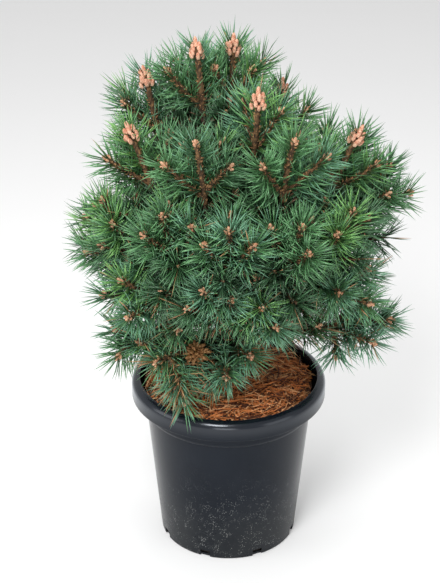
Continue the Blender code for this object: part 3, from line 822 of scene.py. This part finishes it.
def limb_lines(name, lines):
    """Mesh of edges along each limb, with its thickness at each point."""
    points, edges, thickness, limb = [], [], [], []
    for number, (line, radii) in enumerate(lines):
        first = len(points)
        points += [tuple(point) for point in line]
        edges += [(first + i, first + i + 1) for i in range(len(line) - 1)]
        thickness += list(radii)
        limb += [float(number)] * len(line)
    mesh = bpy.data.meshes.new(name)
    mesh.from_pydata(points, edges, [])
    mesh.attributes.new("thickness", "FLOAT", "POINT").data.foreach_set("value", thickness)
    mesh.attributes.new("limb", "FLOAT", "POINT").data.foreach_set("value", limb)
    return mesh


def ringed_mesh(name, rings, sides, cap_root=True):
    """Closed tapering mesh through rings of (place, radius), ending in a point."""
    points, faces = [], []
    for place, radius in rings[:-1]:
        for side in range(sides):
            turn = math.tau * side / sides
            points.append((place.x + radius * math.cos(turn), place.y + radius * math.sin(turn), place.z))
    for ring in range(len(rings) - 2):
        for side in range(sides):
            a, b = ring * sides + side, ring * sides + (side + 1) % sides
            faces.append((a, b, b + sides, a + sides))
    tip = len(points)
    points.append(tuple(rings[-1][0]))
    last = (len(rings) - 2) * sides
    faces += [(last + side, last + (side + 1) % sides, tip) for side in range(sides)]
    if cap_root:
        faces.append(tuple(reversed(range(sides))))
    mesh = bpy.data.meshes.new(name)
    mesh.from_pydata(points, [], faces)
    mesh.shade_smooth()
    share = [min(number // sides, len(rings) - 1) / (len(rings) - 1) for number in range(len(points))]
    mesh.attributes.new("share", "FLOAT", "POINT").data.foreach_set("value", share)
    return mesh


def needle_mesh(name, bend):
    """One pointed needle on the Z axis, bending towards +X."""
    rings = []
    for share in (0.0, 0.62, 1.0):
        swing = math.radians(bend) * share
        place = Vector((math.sin(swing) * share, 0.0, math.cos(swing) * share)) * NEEDLE_LENGTH
        rings.append((place, NEEDLE_RADIUS * (0.85 + 0.6 * share * (1 - share))))
    return ringed_mesh(name, rings, 3)


def strand_mesh(name, bend):
    """One dry fallen needle on the Z axis, bending towards +X."""
    rings = []
    for share in (0.0, 0.33, 0.66, 1.0):
        swing = math.radians(bend) * share
        place = Vector((math.sin(swing) * share, 0.0, math.cos(swing) * share)) * STRAW_LENGTH
        rings.append((place, STRAW_RADIUS))
    return ringed_mesh(name, rings, 3)


def bud_mesh(name, length, radius, rows, sides):
    """Pointed bud of overlapping scales, standing on the origin."""
    rings = []
    for row in range(rows):
        share = row / (rows - 0.3)
        swell = (0.74 + 0.26 * min(1.0, share * 4)) * (1 - share ** 4.5) ** 0.6
        rings.append((Vector((0, 0, share * length)), radius * swell))
    rings.append((Vector((0, 0, length)), 0.0))
    mesh = ringed_mesh(name, rings, sides)
    edge = [0.0] * len(mesh.vertices)
    for number, corner in enumerate(mesh.vertices):
        row, side = divmod(number, sides)
        if 0 < row < rows and (row + side) % 2:
            corner.co.x *= SCALE_STAND
            corner.co.y *= SCALE_STAND
            edge[number] = 1.0
    mesh.attributes.new("edge", "FLOAT", "POINT").data.foreach_set("value", edge)
    return mesh


def needle_finish(name, colour):
    """Waxy needle: one plain colour with a sheen, darkened at the foot as painted shade and paled at the tip as
    painted highlight.
    """
    finish = Finish("needle_" + name, 0.30, Specular_IOR_Level=0.5)
    mottle = finish.noise(120.0, 2.0)
    # Painted shade at each needle's foot and painted highlight at its tip, blended along the needle's length.
    dark = tuple(channel * share for channel, share in zip(colour, (0.28, 0.42, 0.28)))
    light = tuple(min(1.0, channel * 1.75 + 0.055) for channel in colour)
    factor = (finish.attribute("share") * 0.75 + mottle * 0.6 - 0.15).clamp()
    finish.feed("Base Color", finish.mix(factor, dark, light))
    return finish.material


def bark_finish(name, furrow, plate, edge):
    """Scaly bark: dark furrows, brown plates and lighter plate edges."""
    finish = Finish(name, 0.86)
    relief = finish.attribute("relief")
    patches = finish.noise(90.0, 3.0)
    grain = finish.noise(900.0, 3.0)
    body = finish.mix(patches.step(0.35, 0.65), plate, edge)
    finish.feed("Base Color", finish.mix((relief * 1.5 + grain * 0.3 - 0.35).clamp(), furrow, body))
    finish.bump(grain, 0.5, 0.0006)
    return finish.material


def bud_finish(name, body, edge):
    """Papery bud scales with pale resinous edges and a paler foot."""
    finish = Finish(name, 0.58)
    foot = (1.0 - finish.attribute("share") * 1.5).clamp()
    patches = finish.noise(260.0, 2.0).step(0.3, 0.7)
    factor = (finish.attribute("edge") * 0.40 + foot * 0.50 + patches * 0.50 - 0.12).clamp()
    finish.feed("Base Color", finish.mix(factor, body, edge))
    return finish.material


def straw_finish(name, colour):
    """Dry dead needle."""
    finish = Finish(name, 0.75)
    light = tuple(min(1.0, channel * 1.5) for channel in colour)
    finish.feed("Base Color", finish.mix(finish.noise(160.0, 2.0), colour, light))
    return finish.material


def soil_finish():
    """Dark peaty soil with bits of bark."""
    finish = Finish("soil", 0.95)
    crumbs = finish.cells(260.0)
    finish.feed("Base Color", finish.mix(crumbs.step(0.1, 0.6), (0.030, 0.018, 0.010), (0.010, 0.007, 0.005)))
    finish.bump(crumbs, 0.8, 0.002)
    return finish.material


def litter_finish():
    """Matted needles under the loose straw."""
    finish = Finish("litter_mat", 0.92)
    strands = finish.noise(240.0, 5.0, 0.7)
    finish.feed("Base Color", finish.mix(strands.step(0.35, 0.65), (0.020, 0.007, 0.003), (0.14, 0.055, 0.022)))
    finish.bump(strands, 1.0, 0.003)
    return finish.material


def pot_finish():
    """Black satin plastic with scuffs, pale dust low down and an olive bloom near the foot."""
    finish = Finish("pot_plastic", 0.18, Specular_IOR_Level=0.20, Specular_Tint=(0.82, 0.90, 1.0, 1.0),
                    Coat_Roughness=0.20, Coat_Tint=(0.82, 0.91, 1.0, 1.0))
    height = finish.node("ShaderNodeSeparateXYZ", {}, {"Vector": finish.place}).out("Z")
    low = 1.0 - height.step(0.02, 0.20)
    film = finish.noise(9.0, 4.0, 0.6)
    fine = finish.noise(420.0, 3.0, 0.7)
    specks = 1.0 - finish.cells(420.0).step(0.12, 0.30)
    chosen = finish.noise(70.0, 4.0, 0.7).step(0.46, 0.62)
    base = finish.mix(film.step(0.3, 0.7), (0.0036, 0.0050, 0.0085), (0.0060, 0.0080, 0.0125))
    bloom = (low * film * 1.3 - 0.25).clamp()
    base = finish.mix(bloom * 0.45, base, (0.040, 0.040, 0.032))
    base = finish.mix((specks * chosen * low * 1.3).clamp(), base, (0.34, 0.35, 0.34))
    finish.feed("Base Color", base)
    finish.feed("Coat Weight", height.step(POT_HEIGHT - RIM_HANG, POT_HEIGHT - RIM_ROUND) * 0.6)
    finish.feed("Roughness", (0.10 + film * 0.12 + bloom * 0.35 + fine * 0.06).clamp())
    finish.bump(fine, 0.12, 0.0008)
    return finish.material


def pot_outer_radius(height):
    """Radius of the pot's tapering body below the collar."""
    return blend(POT_FOOT_RADIUS, POT_COLLAR_RADIUS, height / POT_COLLAR_HEIGHT)


def pot_inner_radius(height):
    """Radius of the pot's inner wall, which flares above the collar to the mouth."""
    if height <= POT_COLLAR_HEIGHT:
        return pot_outer_radius(height) - POT_WALL
    share = min(1.0, (height - POT_COLLAR_HEIGHT) / (POT_HEIGHT - RIM_ROUND - POT_COLLAR_HEIGHT))
    return blend(POT_COLLAR_RADIUS - POT_WALL, RIM_MOUTH_RADIUS, share ** 2)


def arc(centre, radius, start, end, steps):
    """Points of an arc in a section, angles from the outward direction."""
    angles = [math.radians(blend(start, end, i / steps)) for i in range(steps + 1)]
    return [(centre[0] + radius * math.cos(a), centre[1] + radius * math.sin(a)) for a in angles]


def pot_profile():
    """Half section of the pot: down the outside from the crest, under the floor and up inside."""
    mouth_height = POT_HEIGHT - RIM_ROUND
    rim_low = POT_HEIGHT - RIM_HANG
    steps = RIM_ARC_STEPS
    inner_heights = [blend(mouth_height, POT_COLLAR_HEIGHT, i / 6) for i in range(7)] + [POT_FLOOR]
    body_heights = [blend(POT_COLLAR_HEIGHT, 0.004, i / 24) for i in range(25)]
    crest = (RIM_RADIUS - RIM_ROUND, mouth_height)
    points = list(reversed(arc(crest, RIM_ROUND, 0, 90, 2 * steps)))
    points += arc((RIM_RADIUS - 0.0015, rim_low + 0.0015), 0.0015, 0, -90, 3)
    points += [
        (RIM_RADIUS - POT_WALL, rim_low),
        (RIM_RADIUS - POT_WALL - 0.001, POT_HEIGHT - RIM_UNDERCUT),
        (POT_SHOULDER_RADIUS + 0.0045, POT_HEIGHT - RIM_UNDERCUT),
        (POT_SHOULDER_RADIUS, rim_low),
        (POT_COLLAR_RADIUS + POT_COLLAR_STEP + 0.0004, POT_COLLAR_HEIGHT + 0.006),
        (POT_COLLAR_RADIUS + POT_COLLAR_STEP, POT_COLLAR_HEIGHT + 0.002),
        (POT_COLLAR_RADIUS + POT_COLLAR_STEP * 0.6, POT_COLLAR_HEIGHT + 0.0006),
    ]
    points += [(pot_outer_radius(height), height) for height in body_heights]
    points += arc((POT_FOOT_RADIUS - 0.0022, 0.0026), 0.0026, -10, -90, 4)
    points += [(0.0, 0.0), (0.0, POT_FLOOR)]
    points += [(pot_inner_radius(height), height) for height in reversed(inner_heights)]
    lip = (RIM_MOUTH_RADIUS + RIM_LIP, POT_HEIGHT - RIM_LIP)
    points += list(reversed(arc(lip, RIM_LIP, 90, 165, steps)))
    return points


def turned_mesh(name, points, sides, closed):
    """Turn a half section about the Z axis with bmesh's spin."""
    section = bmesh.new()
    corners = [section.verts.new((radius, 0.0, height)) for radius, height in points]
    pairs = list(zip(corners, corners[1:]))
    if closed:
        pairs.append((corners[-1], corners[0]))
    edges = [section.edges.new(pair) for pair in pairs]
    bmesh.ops.spin(section, geom=corners + edges, cent=(0, 0, 0), axis=(0, 0, 1), angle=math.tau,
                   steps=sides, use_duplicate=False)
    bmesh.ops.remove_doubles(section, verts=section.verts, dist=0.00002)
    bmesh.ops.recalc_face_normals(section, faces=section.faces)
    mesh = bpy.data.meshes.new(name)
    section.to_mesh(mesh)
    section.free()
    mesh.shade_smooth()
    mesh.set_sharp_from_angle(angle=math.radians(38))
    return mesh


def make_pot():
    """Pot with a rolled rim, a collar and drainage notches through its foot."""
    pot = link_piece("pot_shell", turned_mesh("pot_shell", pot_profile(), POT_SIDES, True), pot_finish())
    cutters = bmesh.new()
    for index in range(NOTCH_COUNT):
        turn = math.radians(360 * index / NOTCH_COUNT + NOTCH_TURN)
        box = bmesh.ops.create_cube(cutters, size=1.0)["verts"]
        bmesh.ops.scale(cutters, vec=(NOTCH_DEPTH, NOTCH_WIDTH, NOTCH_HEIGHT * 2), verts=box)
        bmesh.ops.translate(cutters, vec=(POT_FOOT_RADIUS, 0.0, 0.0), verts=box)
        for corner in box:
            x, y, z = corner.co
            corner.co = (x * math.cos(turn) - y * math.sin(turn), x * math.sin(turn) + y * math.cos(turn), z)
    mesh = bpy.data.meshes.new("notches")
    cutters.to_mesh(mesh)
    cutters.free()
    notches = bpy.data.objects.new("notches", mesh)
    bpy.context.scene.collection.objects.link(notches)
    cut = pot.modifiers.new("notches", "BOOLEAN")
    cut.operation = "DIFFERENCE"
    cut.object = notches
    bpy.context.view_layer.update()
    shape = bpy.data.meshes.new_from_object(pot.evaluated_get(bpy.context.evaluated_depsgraph_get()))
    pot.modifiers.clear()
    pot.data = shape
    bpy.data.objects.remove(notches, do_unlink=True)
    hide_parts("pot")


def litter_height(x, y):
    """Height of the matted litter, heaped a little round the trunk."""
    share = math.hypot(x, y) / pot_inner_radius(LITTER_EDGE_TOP)
    rough = noise.fractal(Vector((x, y, 0.3)) * 60, 1.0, 2.0, 3) * LITTER_ROUGHNESS
    return LITTER_EDGE_TOP + LITTER_MOUND * (1.0 - share ** 2) + rough


def make_litter(recipe, rng):
    """Matted litter with loose straw strewn on it."""
    under = SOIL_TOP + CLEARANCE
    edge = pot_inner_radius(under) - 2 * CLEARANCE
    points = [(edge * ring / LITTER_RINGS, LITTER_EDGE_TOP) for ring in range(LITTER_RINGS + 1)]
    points += [(edge, under), (0.0, under)]
    mesh = turned_mesh("litter_mat", points, LITTER_SIDES, False)
    for corner in mesh.vertices:
        if corner.co.z > under + 0.001:
            corner.co.z = litter_height(corner.co.x, corner.co.y)
    mat = link_piece("litter_mat", mesh, litter_finish())
    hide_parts("litter")
    kit = make_kit("strands", [strand_mesh(f"strand_{bend}", bend) for bend in STRAW_BENDS])
    for straw in STRAWS:
        reach = np.sqrt(rng.uniform(0.0, 1.0, straw.count)) * (RIM_MOUTH_RADIUS - 2 * STRAW_EDGE)
        turn = rng.uniform(0, math.tau, straw.count)
        place = np.stack((reach * np.cos(turn), reach * np.sin(turn), np.zeros(straw.count)), axis=1)
        place[:, 2] = [litter_height(x, y) for x, y in place[:, :2]]
        place[:, 2] += rng.uniform(0.0006, 0.0075, straw.count)
        heading = rng.uniform(0, math.tau, straw.count)
        way = unit(np.stack((np.cos(heading), np.sin(heading), rng.normal(0.02, 0.10, straw.count)), axis=1))
        sideways = np.cross(way, (0.0, 0.0, 1.0)) * rng.choice((-1.0, 1.0), (straw.count, 1))
        bow = unit(sideways + np.array((0, 0, 1.0)) * rng.normal(0, 0.25, (straw.count, 1)))
        length = rng.uniform(0.45, 1.1, straw.count)
        shape = rng.integers(0, len(STRAW_BENDS), straw.count)
        thick = rng.uniform(0.7, 1.2, straw.count)
        strewn = Sprigs(place, way, bow, np.stack((thick, thick, length), axis=1), shape)
        end = sprig_ends(strewn, STRAW_BENDS, STRAW_LENGTH)
        strewn = picked(strewn, np.hypot(end[:, 0], end[:, 1]) < RIM_MOUTH_RADIUS - 2 * STRAW_EDGE)
        follow(recipe, straw.name, sprig_points(straw.name, strewn), "litter", kit=kit,
               finish=straw_finish(straw.name, straw.colour))


def make_limbs(recipe, masses, shoots):
    """Bark of the trunk and boughs, and the scaly stems of the shoots."""
    foot = SOIL_TOP + CLEARANCE
    heights = [blend(foot, TRUNK_TOP, (i / (TRUNK_POINTS - 1)) ** 1.3) for i in range(TRUNK_POINTS)]
    trunk_line = [([trunk_point(height) for height in heights], [trunk_radius(height) for height in heights])]
    bark = bark_finish("bark", (0.030, 0.018, 0.012), (0.130, 0.068, 0.038), (0.220, 0.130, 0.075))
    trunk = follow(recipe, "trunk_bark", limb_lines("trunk", trunk_line), "bark", spacing=0.0018, sides=40,
                   plate_width=0.0052, plate_length=0.0085, relief=0.0022, finish=bark)
    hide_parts("trunk")
    lines = []
    for mass in masses:
        line = bough_line(mass)
        radii = [blend(BOUGH_BASE_RADIUS, BOUGH_TIP_RADIUS, i / (len(line) - 1)) for i in range(len(line))]
        lines.append((line, radii))
    boughs = follow(recipe, "bough_bark", limb_lines("boughs", lines), "bark", spacing=0.0024, sides=12,
                    plate_width=0.0034, plate_length=0.0058, relief=0.0016, finish=bark)
    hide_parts(*(f"bough_{mass.name}" for mass in masses if mass.has_bough))
    rust = bark_finish("twig_bark", (0.034, 0.018, 0.008), (0.175, 0.086, 0.032), (0.310, 0.170, 0.070))
    for name, spacing, sides, kinds in TWIGS:
        stems = []
        for shoot in shoots:
            if shoot.kind in kinds:
                last = len(shoot.line) - 1
                stems.append((shoot.line, [blend(*shoot.stem, i / last) for i in range(last + 1)]))
        follow(recipe, name, limb_lines(name, stems), "bark", spacing=spacing, sides=sides,
               plate_width=0.0030, plate_length=0.0046, relief=0.0016, finish=rust)


def make_sheaths(recipe, shoots, rng):
    """Brown sheaths and old leaf bases all along the stems of the outer shoots."""
    rings = [(Vector((0, 0, 0)), SHEATH_RADIUS), (Vector((0, 0, SHEATH_LENGTH)), 0.0)]
    kit = make_kit("sheaths", [ringed_mesh("sheath", rings, 3)])
    parts = []
    for shoot in shoots:
        if shoot.kind != "finer":
            part = shoot_needles(shoot, 0.02, 0.98, SHEATH_SPACING, SHEATH_ANGLE, SHEATH_ANGLE,
                                 NEEDLE_LENGTH, rng)
            scatter = rng.uniform(0.7, 1.15, (len(part.place), 1))
            parts.append(part._replace(size=np.repeat(scatter, 3, axis=1), shape=part.shape * 0))
    finish = straw_finish("sheath", SHEATH_COLOUR)
    follow(recipe, "sheaths", sprig_points("sheaths", join_sprigs(parts)), "bark", kit=kit, finish=finish)


def tint_mix(shoot, rng):
    """Main and second colour of one spray: blue-green low down, fresher towards the top, and darker inside the
    crown as painted shade.
    """
    if shoot.kind == "finer":
        # Painted shade: the finer shoots inside the crown mostly take the darkest tints.
        return ("shade", "deep") if rng.random() < 0.6 else ("deep", "mid")
    low = shoot.mass.tier in ("belly", "low")
    names = ("blue", "mid", "deep", "fresh")
    weights = (0.46, 0.32, 0.16, 0.06) if low else (0.14, 0.48, 0.24, 0.14)
    return tuple(rng.choice(names, 2, p=weights))


def deal_tints(sprigs, shares, rng):
    """Split one spray's needles between its colours, each with its share."""
    dealt = rng.choice(len(shares), len(sprigs.place), p=[share for name, share in shares])
    return [(name, picked(sprigs, dealt == number)) for number, (name, share) in enumerate(shares)]


TIER_GROUPS = {"apex": "top", "shoulder": "top", "waist": "middle", "belly": "bottom", "low": "bottom"}


def make_needles(recipe, masses, shoots, windows, rng):
    """Needles of every spray, joined by height in the crown and by colour."""
    kit = make_kit("needles", [needle_mesh(f"needle_{bend}", bend) for bend in NEEDLE_BENDS])
    heaps = {}
    for shoot in shoots:
        outer = shoot.kind != "finer"
        spacing = OUTER_SPACING if outer else FINER_SPACING
        sprigs = shoot_needles(shoot, 0.14 if outer else 0.2, 0.985, spacing, OPEN_ANGLE, TIP_ANGLE,
                               NEEDLE_LENGTH, rng)
        if shoot.kind == "leader":
            height = ((sprigs.place - np.array(shoot.line[0])) @ np.array(shoot.line[-1] - shoot.line[0]))
            low = height < 0.55 * LEADER_LENGTH ** 2
            sprigs = picked(sprigs, ~low | (rng.random(len(low)) > LEADER_THINNING))
        hides = hides_stem(sprigs.place, sprig_ends(sprigs, NEEDLE_BENDS, NEEDLE_LENGTH), windows)
        sprigs = picked(sprigs, ~hides | (rng.random(len(hides)) < WINDOW_KEPT))
        first, second = tint_mix(shoot, rng)
        dead = DEAD_SHARES.get(shoot.mass.name, DEAD_SHARES[shoot.mass.tier])
        shares = [(first, 1 - SECOND_SHARE - dead), (second, SECOND_SHARE), ("dead", dead)]
        for tint, part in deal_tints(sprigs, shares, rng):
            heaps.setdefault((TIER_GROUPS[shoot.mass.tier], tint, outer), []).append(part)
    finishes = {name: needle_finish(name, colour) for name, colour in NEEDLE_TINTS.items()}
    for mass in masses:
        line = bough_line(mass)
        limb = Shoot("bough", mass, line, None)
        sprigs = shoot_needles(limb, 0.50, 1.0, BOUGH_SPACING, 72, 60, NEEDLE_LENGTH * 0.9, rng)
        for tint, part in deal_tints(sprigs, list(BOUGH_SHARES.items()), rng):
            heaps.setdefault((TIER_GROUPS[mass.tier], tint, False), []).append(part)
    for (group, tint, outer), parts in sorted(heaps.items()):
        name = f"needles_{group}_{tint}_{'outer' if outer else 'inner'}"
        points = sprig_points(name, join_sprigs(parts))
        piece = follow(recipe, name, points, "needles", kit=kit, finish=finishes[tint])
        if outer:
            stood_for = [mass.name for mass in masses if TIER_GROUPS[mass.tier] == group]
            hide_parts(*(f"foliage_{label}" for label in stood_for))


def has_candle(shoot):
    """True for the upper leaders that end in a tall cluster of buds."""
    return shoot.kind == "leader" and shoot.mass.tier in CANDLE_TIERS and shoot.mass.name not in BLUNT_LEADERS


def bud_sprigs(shoot, drop, rings, dice):
    """Buds at a shoot's end: one in the middle and rings of smaller ones round it."""
    places, ways = along(shoot.line, [1.0])
    tip, axis = Vector(places[0]), Vector(ways[0])
    rows = [(tip - axis * drop, axis, dice.uniform(0.9, 1.0), 0)]
    for number, ring in enumerate(rings):
        for index in range(ring.count):
            roll = 360 * (index + number / 2) / ring.count + dice.uniform(-14, 14)
            across = cone_direction(axis, 90, roll)
            way = cone_direction(axis, ring.splay + dice.uniform(-5, 5), roll)
            foot = tip + across * ring.offset - axis * (ring.drop + dice.uniform(0.0, 0.003))
            rows.append((foot, way, dice.uniform(0.75, 1.05), 1))
    return rows


def make_buds(recipe, shoots, dice):
    """Candles on the leaders and small bud clusters on the other shoots."""
    candles = make_kit("candle_buds", [
        bud_mesh("candle", CANDLE_LENGTH, CANDLE_RADIUS, 12, 10),
        bud_mesh("candle_side", SIDE_BUD_LENGTH, SIDE_BUD_RADIUS, 8, 8)])
    small = make_kit("small_buds", [
        bud_mesh("small_bud", SMALL_BUD_LENGTH, SMALL_BUD_RADIUS, 6, 6),
        bud_mesh("small_side", SMALL_BUD_LENGTH * 0.7, SMALL_BUD_RADIUS * 0.85, 5, 6)])
    tall = [shoot for shoot in shoots if has_candle(shoot)]
    budded = [shoot for shoot in shoots if not has_candle(shoot) and
              (shoot.kind != "finer" or dice.random() < BUDDED_SHARE)]
    sets = (
        ("candles", candles, tall, CANDLE_DROP, CANDLE_RINGS, bud_finish("bud_salmon", BUD_SALMON, BUD_CREAM)),
        ("buds", small, budded, SMALL_DROP, SMALL_RINGS, bud_finish("bud_rust", BUD_RUST, BUD_TAN)),
    )
    for name, kit, chosen, drop, rings, finish in sets:
        rows = [row for shoot in chosen for row in bud_sprigs(shoot, drop, rings, dice)]
        place = np.array([tuple(row[0]) for row in rows])
        way = np.array([tuple(row[1]) for row in rows])
        size = np.repeat(np.array([row[2] for row in rows])[:, None], 3, axis=1)
        sprigs = Sprigs(place, way, side_frames(way)[0], size, np.array([row[3] for row in rows]))
        follow(recipe, name, sprig_points(name, sprigs), "bark", kit=kit, finish=finish)


def make_dead_knot(set_out, limb, masses, rng):
    """Dead knot on a short twig from a low fork: old scales that stand out of it on all sides."""
    fork = next(mass.fork for mass in masses if mass.name == DEAD_KNOT.mass)
    line = bowed_line(fork, Vector(DEAD_KNOT.place), Vector((0.0, 0.0, 0.002)))
    radii = [blend(*KNOT_STEM, i / (len(line) - 1)) for i in range(len(line))]
    follow(limb, "dead_twig", limb_lines("dead_twig", [(line, radii)]), "bark", spacing=0.0030, sides=6,
           plate_width=0.0030, plate_length=0.0046, relief=0.0012,
           finish=bark_finish("dead_bark", (0.025, 0.013, 0.007), (0.140, 0.065, 0.028), (0.240, 0.130, 0.060)))
    turn = np.radians(np.arange(DEAD_KNOT.count) * GOLDEN_ANGLE)
    rise = np.linspace(-0.95, 0.95, DEAD_KNOT.count)
    level = np.sqrt(1 - rise ** 2)
    way = np.stack((level * np.cos(turn), level * np.sin(turn), rise), axis=1)
    depth = rng.uniform(0.35, 0.75, (DEAD_KNOT.count, 1)) * np.array((1.0, 1.0, DEAD_KNOT.flat))
    place = np.array(DEAD_KNOT.place) + way * DEAD_KNOT.radius * depth
    way = unit(way + rng.normal(0.0, 0.35, way.shape))
    size = np.repeat(rng.uniform(0.6, 1.1, (DEAD_KNOT.count, 1)), 3, axis=1)
    sprigs = Sprigs(place, way, side_frames(way)[0], size, np.zeros(DEAD_KNOT.count, int))
    kit = make_kit("knot_scales", [bud_mesh("knot_scale", SMALL_BUD_LENGTH, SMALL_BUD_RADIUS, 5, 6)])
    follow(set_out, "dead_knot", sprig_points("dead_knot", sprigs), "bark", kit=kit,
           finish=bud_finish("knot_scales", KNOT_BROWN, KNOT_TAN))


def make_stage():
    """Flat pale floor that leaves the plant in view from all round, soft lights and the camera."""
    reach = FLOOR_REACH
    mesh = bpy.data.meshes.new("floor")
    corners = [(-reach, -reach, 0.0), (reach, -reach, 0.0), (reach, reach, 0.0), (-reach, reach, 0.0)]
    mesh.from_pydata(corners, [], [(0, 1, 2, 3)])
    floor = bpy.data.objects.new("floor", mesh)
    bpy.context.scene.collection.objects.link(floor)
    pale = Finish("floor_pale", 0.9)
    pale.feed("Base Color", pale.mix(pale.noise(2.0), (0.93, 0.93, 0.93), (0.95, 0.95, 0.95)))
    mesh.materials.append(pale.material)
    world = bpy.data.worlds.new("studio")
    bpy.context.scene.world = world
    world.use_nodes = True
    world.node_tree.nodes["Background"].inputs["Color"].default_value = (1.0, 1.0, 1.0, 1.0)
    world.node_tree.nodes["Background"].inputs["Strength"].default_value = 0.66
    lamps = (
        ("key", (-0.50, -1.6, 2.2), 0.8, 40.0),
        ("side", (-1.9, -0.6, 1.0), 1.2, 10.0),
        ("fill", (1.7, -1.2, 0.7), 1.2, 6.0),
        ("front", (-0.2, -2.6, 0.4), 1.0, 12.0),
        ("top", (0.2, 0.5, 2.6), 1.6, 16.0),
    )
    for name, place, size, power in lamps:
        data = bpy.data.lights.new(name, "AREA")
        data.size = size
        data.energy = power
        lamp = bpy.data.objects.new(name, data)
        lamp.location = place
        lamp.rotation_euler = (Vector((0, 0, 0.45)) - Vector(place)).to_track_quat("-Z", "Y").to_euler()
        bpy.context.scene.collection.objects.link(lamp)
    lens = bpy.data.cameras.new("camera")
    lens.sensor_width = SENSOR
    lens.lens = FOCAL_PIXELS * SENSOR / FRAME_HEIGHT
    camera = bpy.data.objects.new("camera", lens)
    camera.location = CAMERA_PLACE
    camera.rotation_euler = (math.radians(90 - CAMERA_PITCH), 0.0, 0.0)
    bpy.context.scene.collection.objects.link(camera)
    bpy.context.scene.camera = camera
    bpy.context.scene.view_settings.view_transform = "Standard"


dice = random.Random(SEED)
rng = np.random.default_rng(SEED)
make_stage()
set_out, limb = set_out_recipe(), limb_recipe()
masses = crown_masses()
windows = open_windows(masses)
shoots = [shoot for mass in masses for shoot in mass_shoots(mass, dice) if not bars_window(shoot, windows)]
shoots += hanging_shoots(masses)
make_pot()
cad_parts["root_ball"].data.materials.clear()
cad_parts["root_ball"].data.materials.append(soil_finish())
make_litter(set_out, rng)
make_limbs(limb, masses, shoots)
make_sheaths(set_out, shoots, rng)
make_needles(set_out, masses, shoots, windows, rng)
make_buds(set_out, shoots, dice)
make_dead_knot(set_out, limb, masses, rng)
bpy.context.view_layer.update()
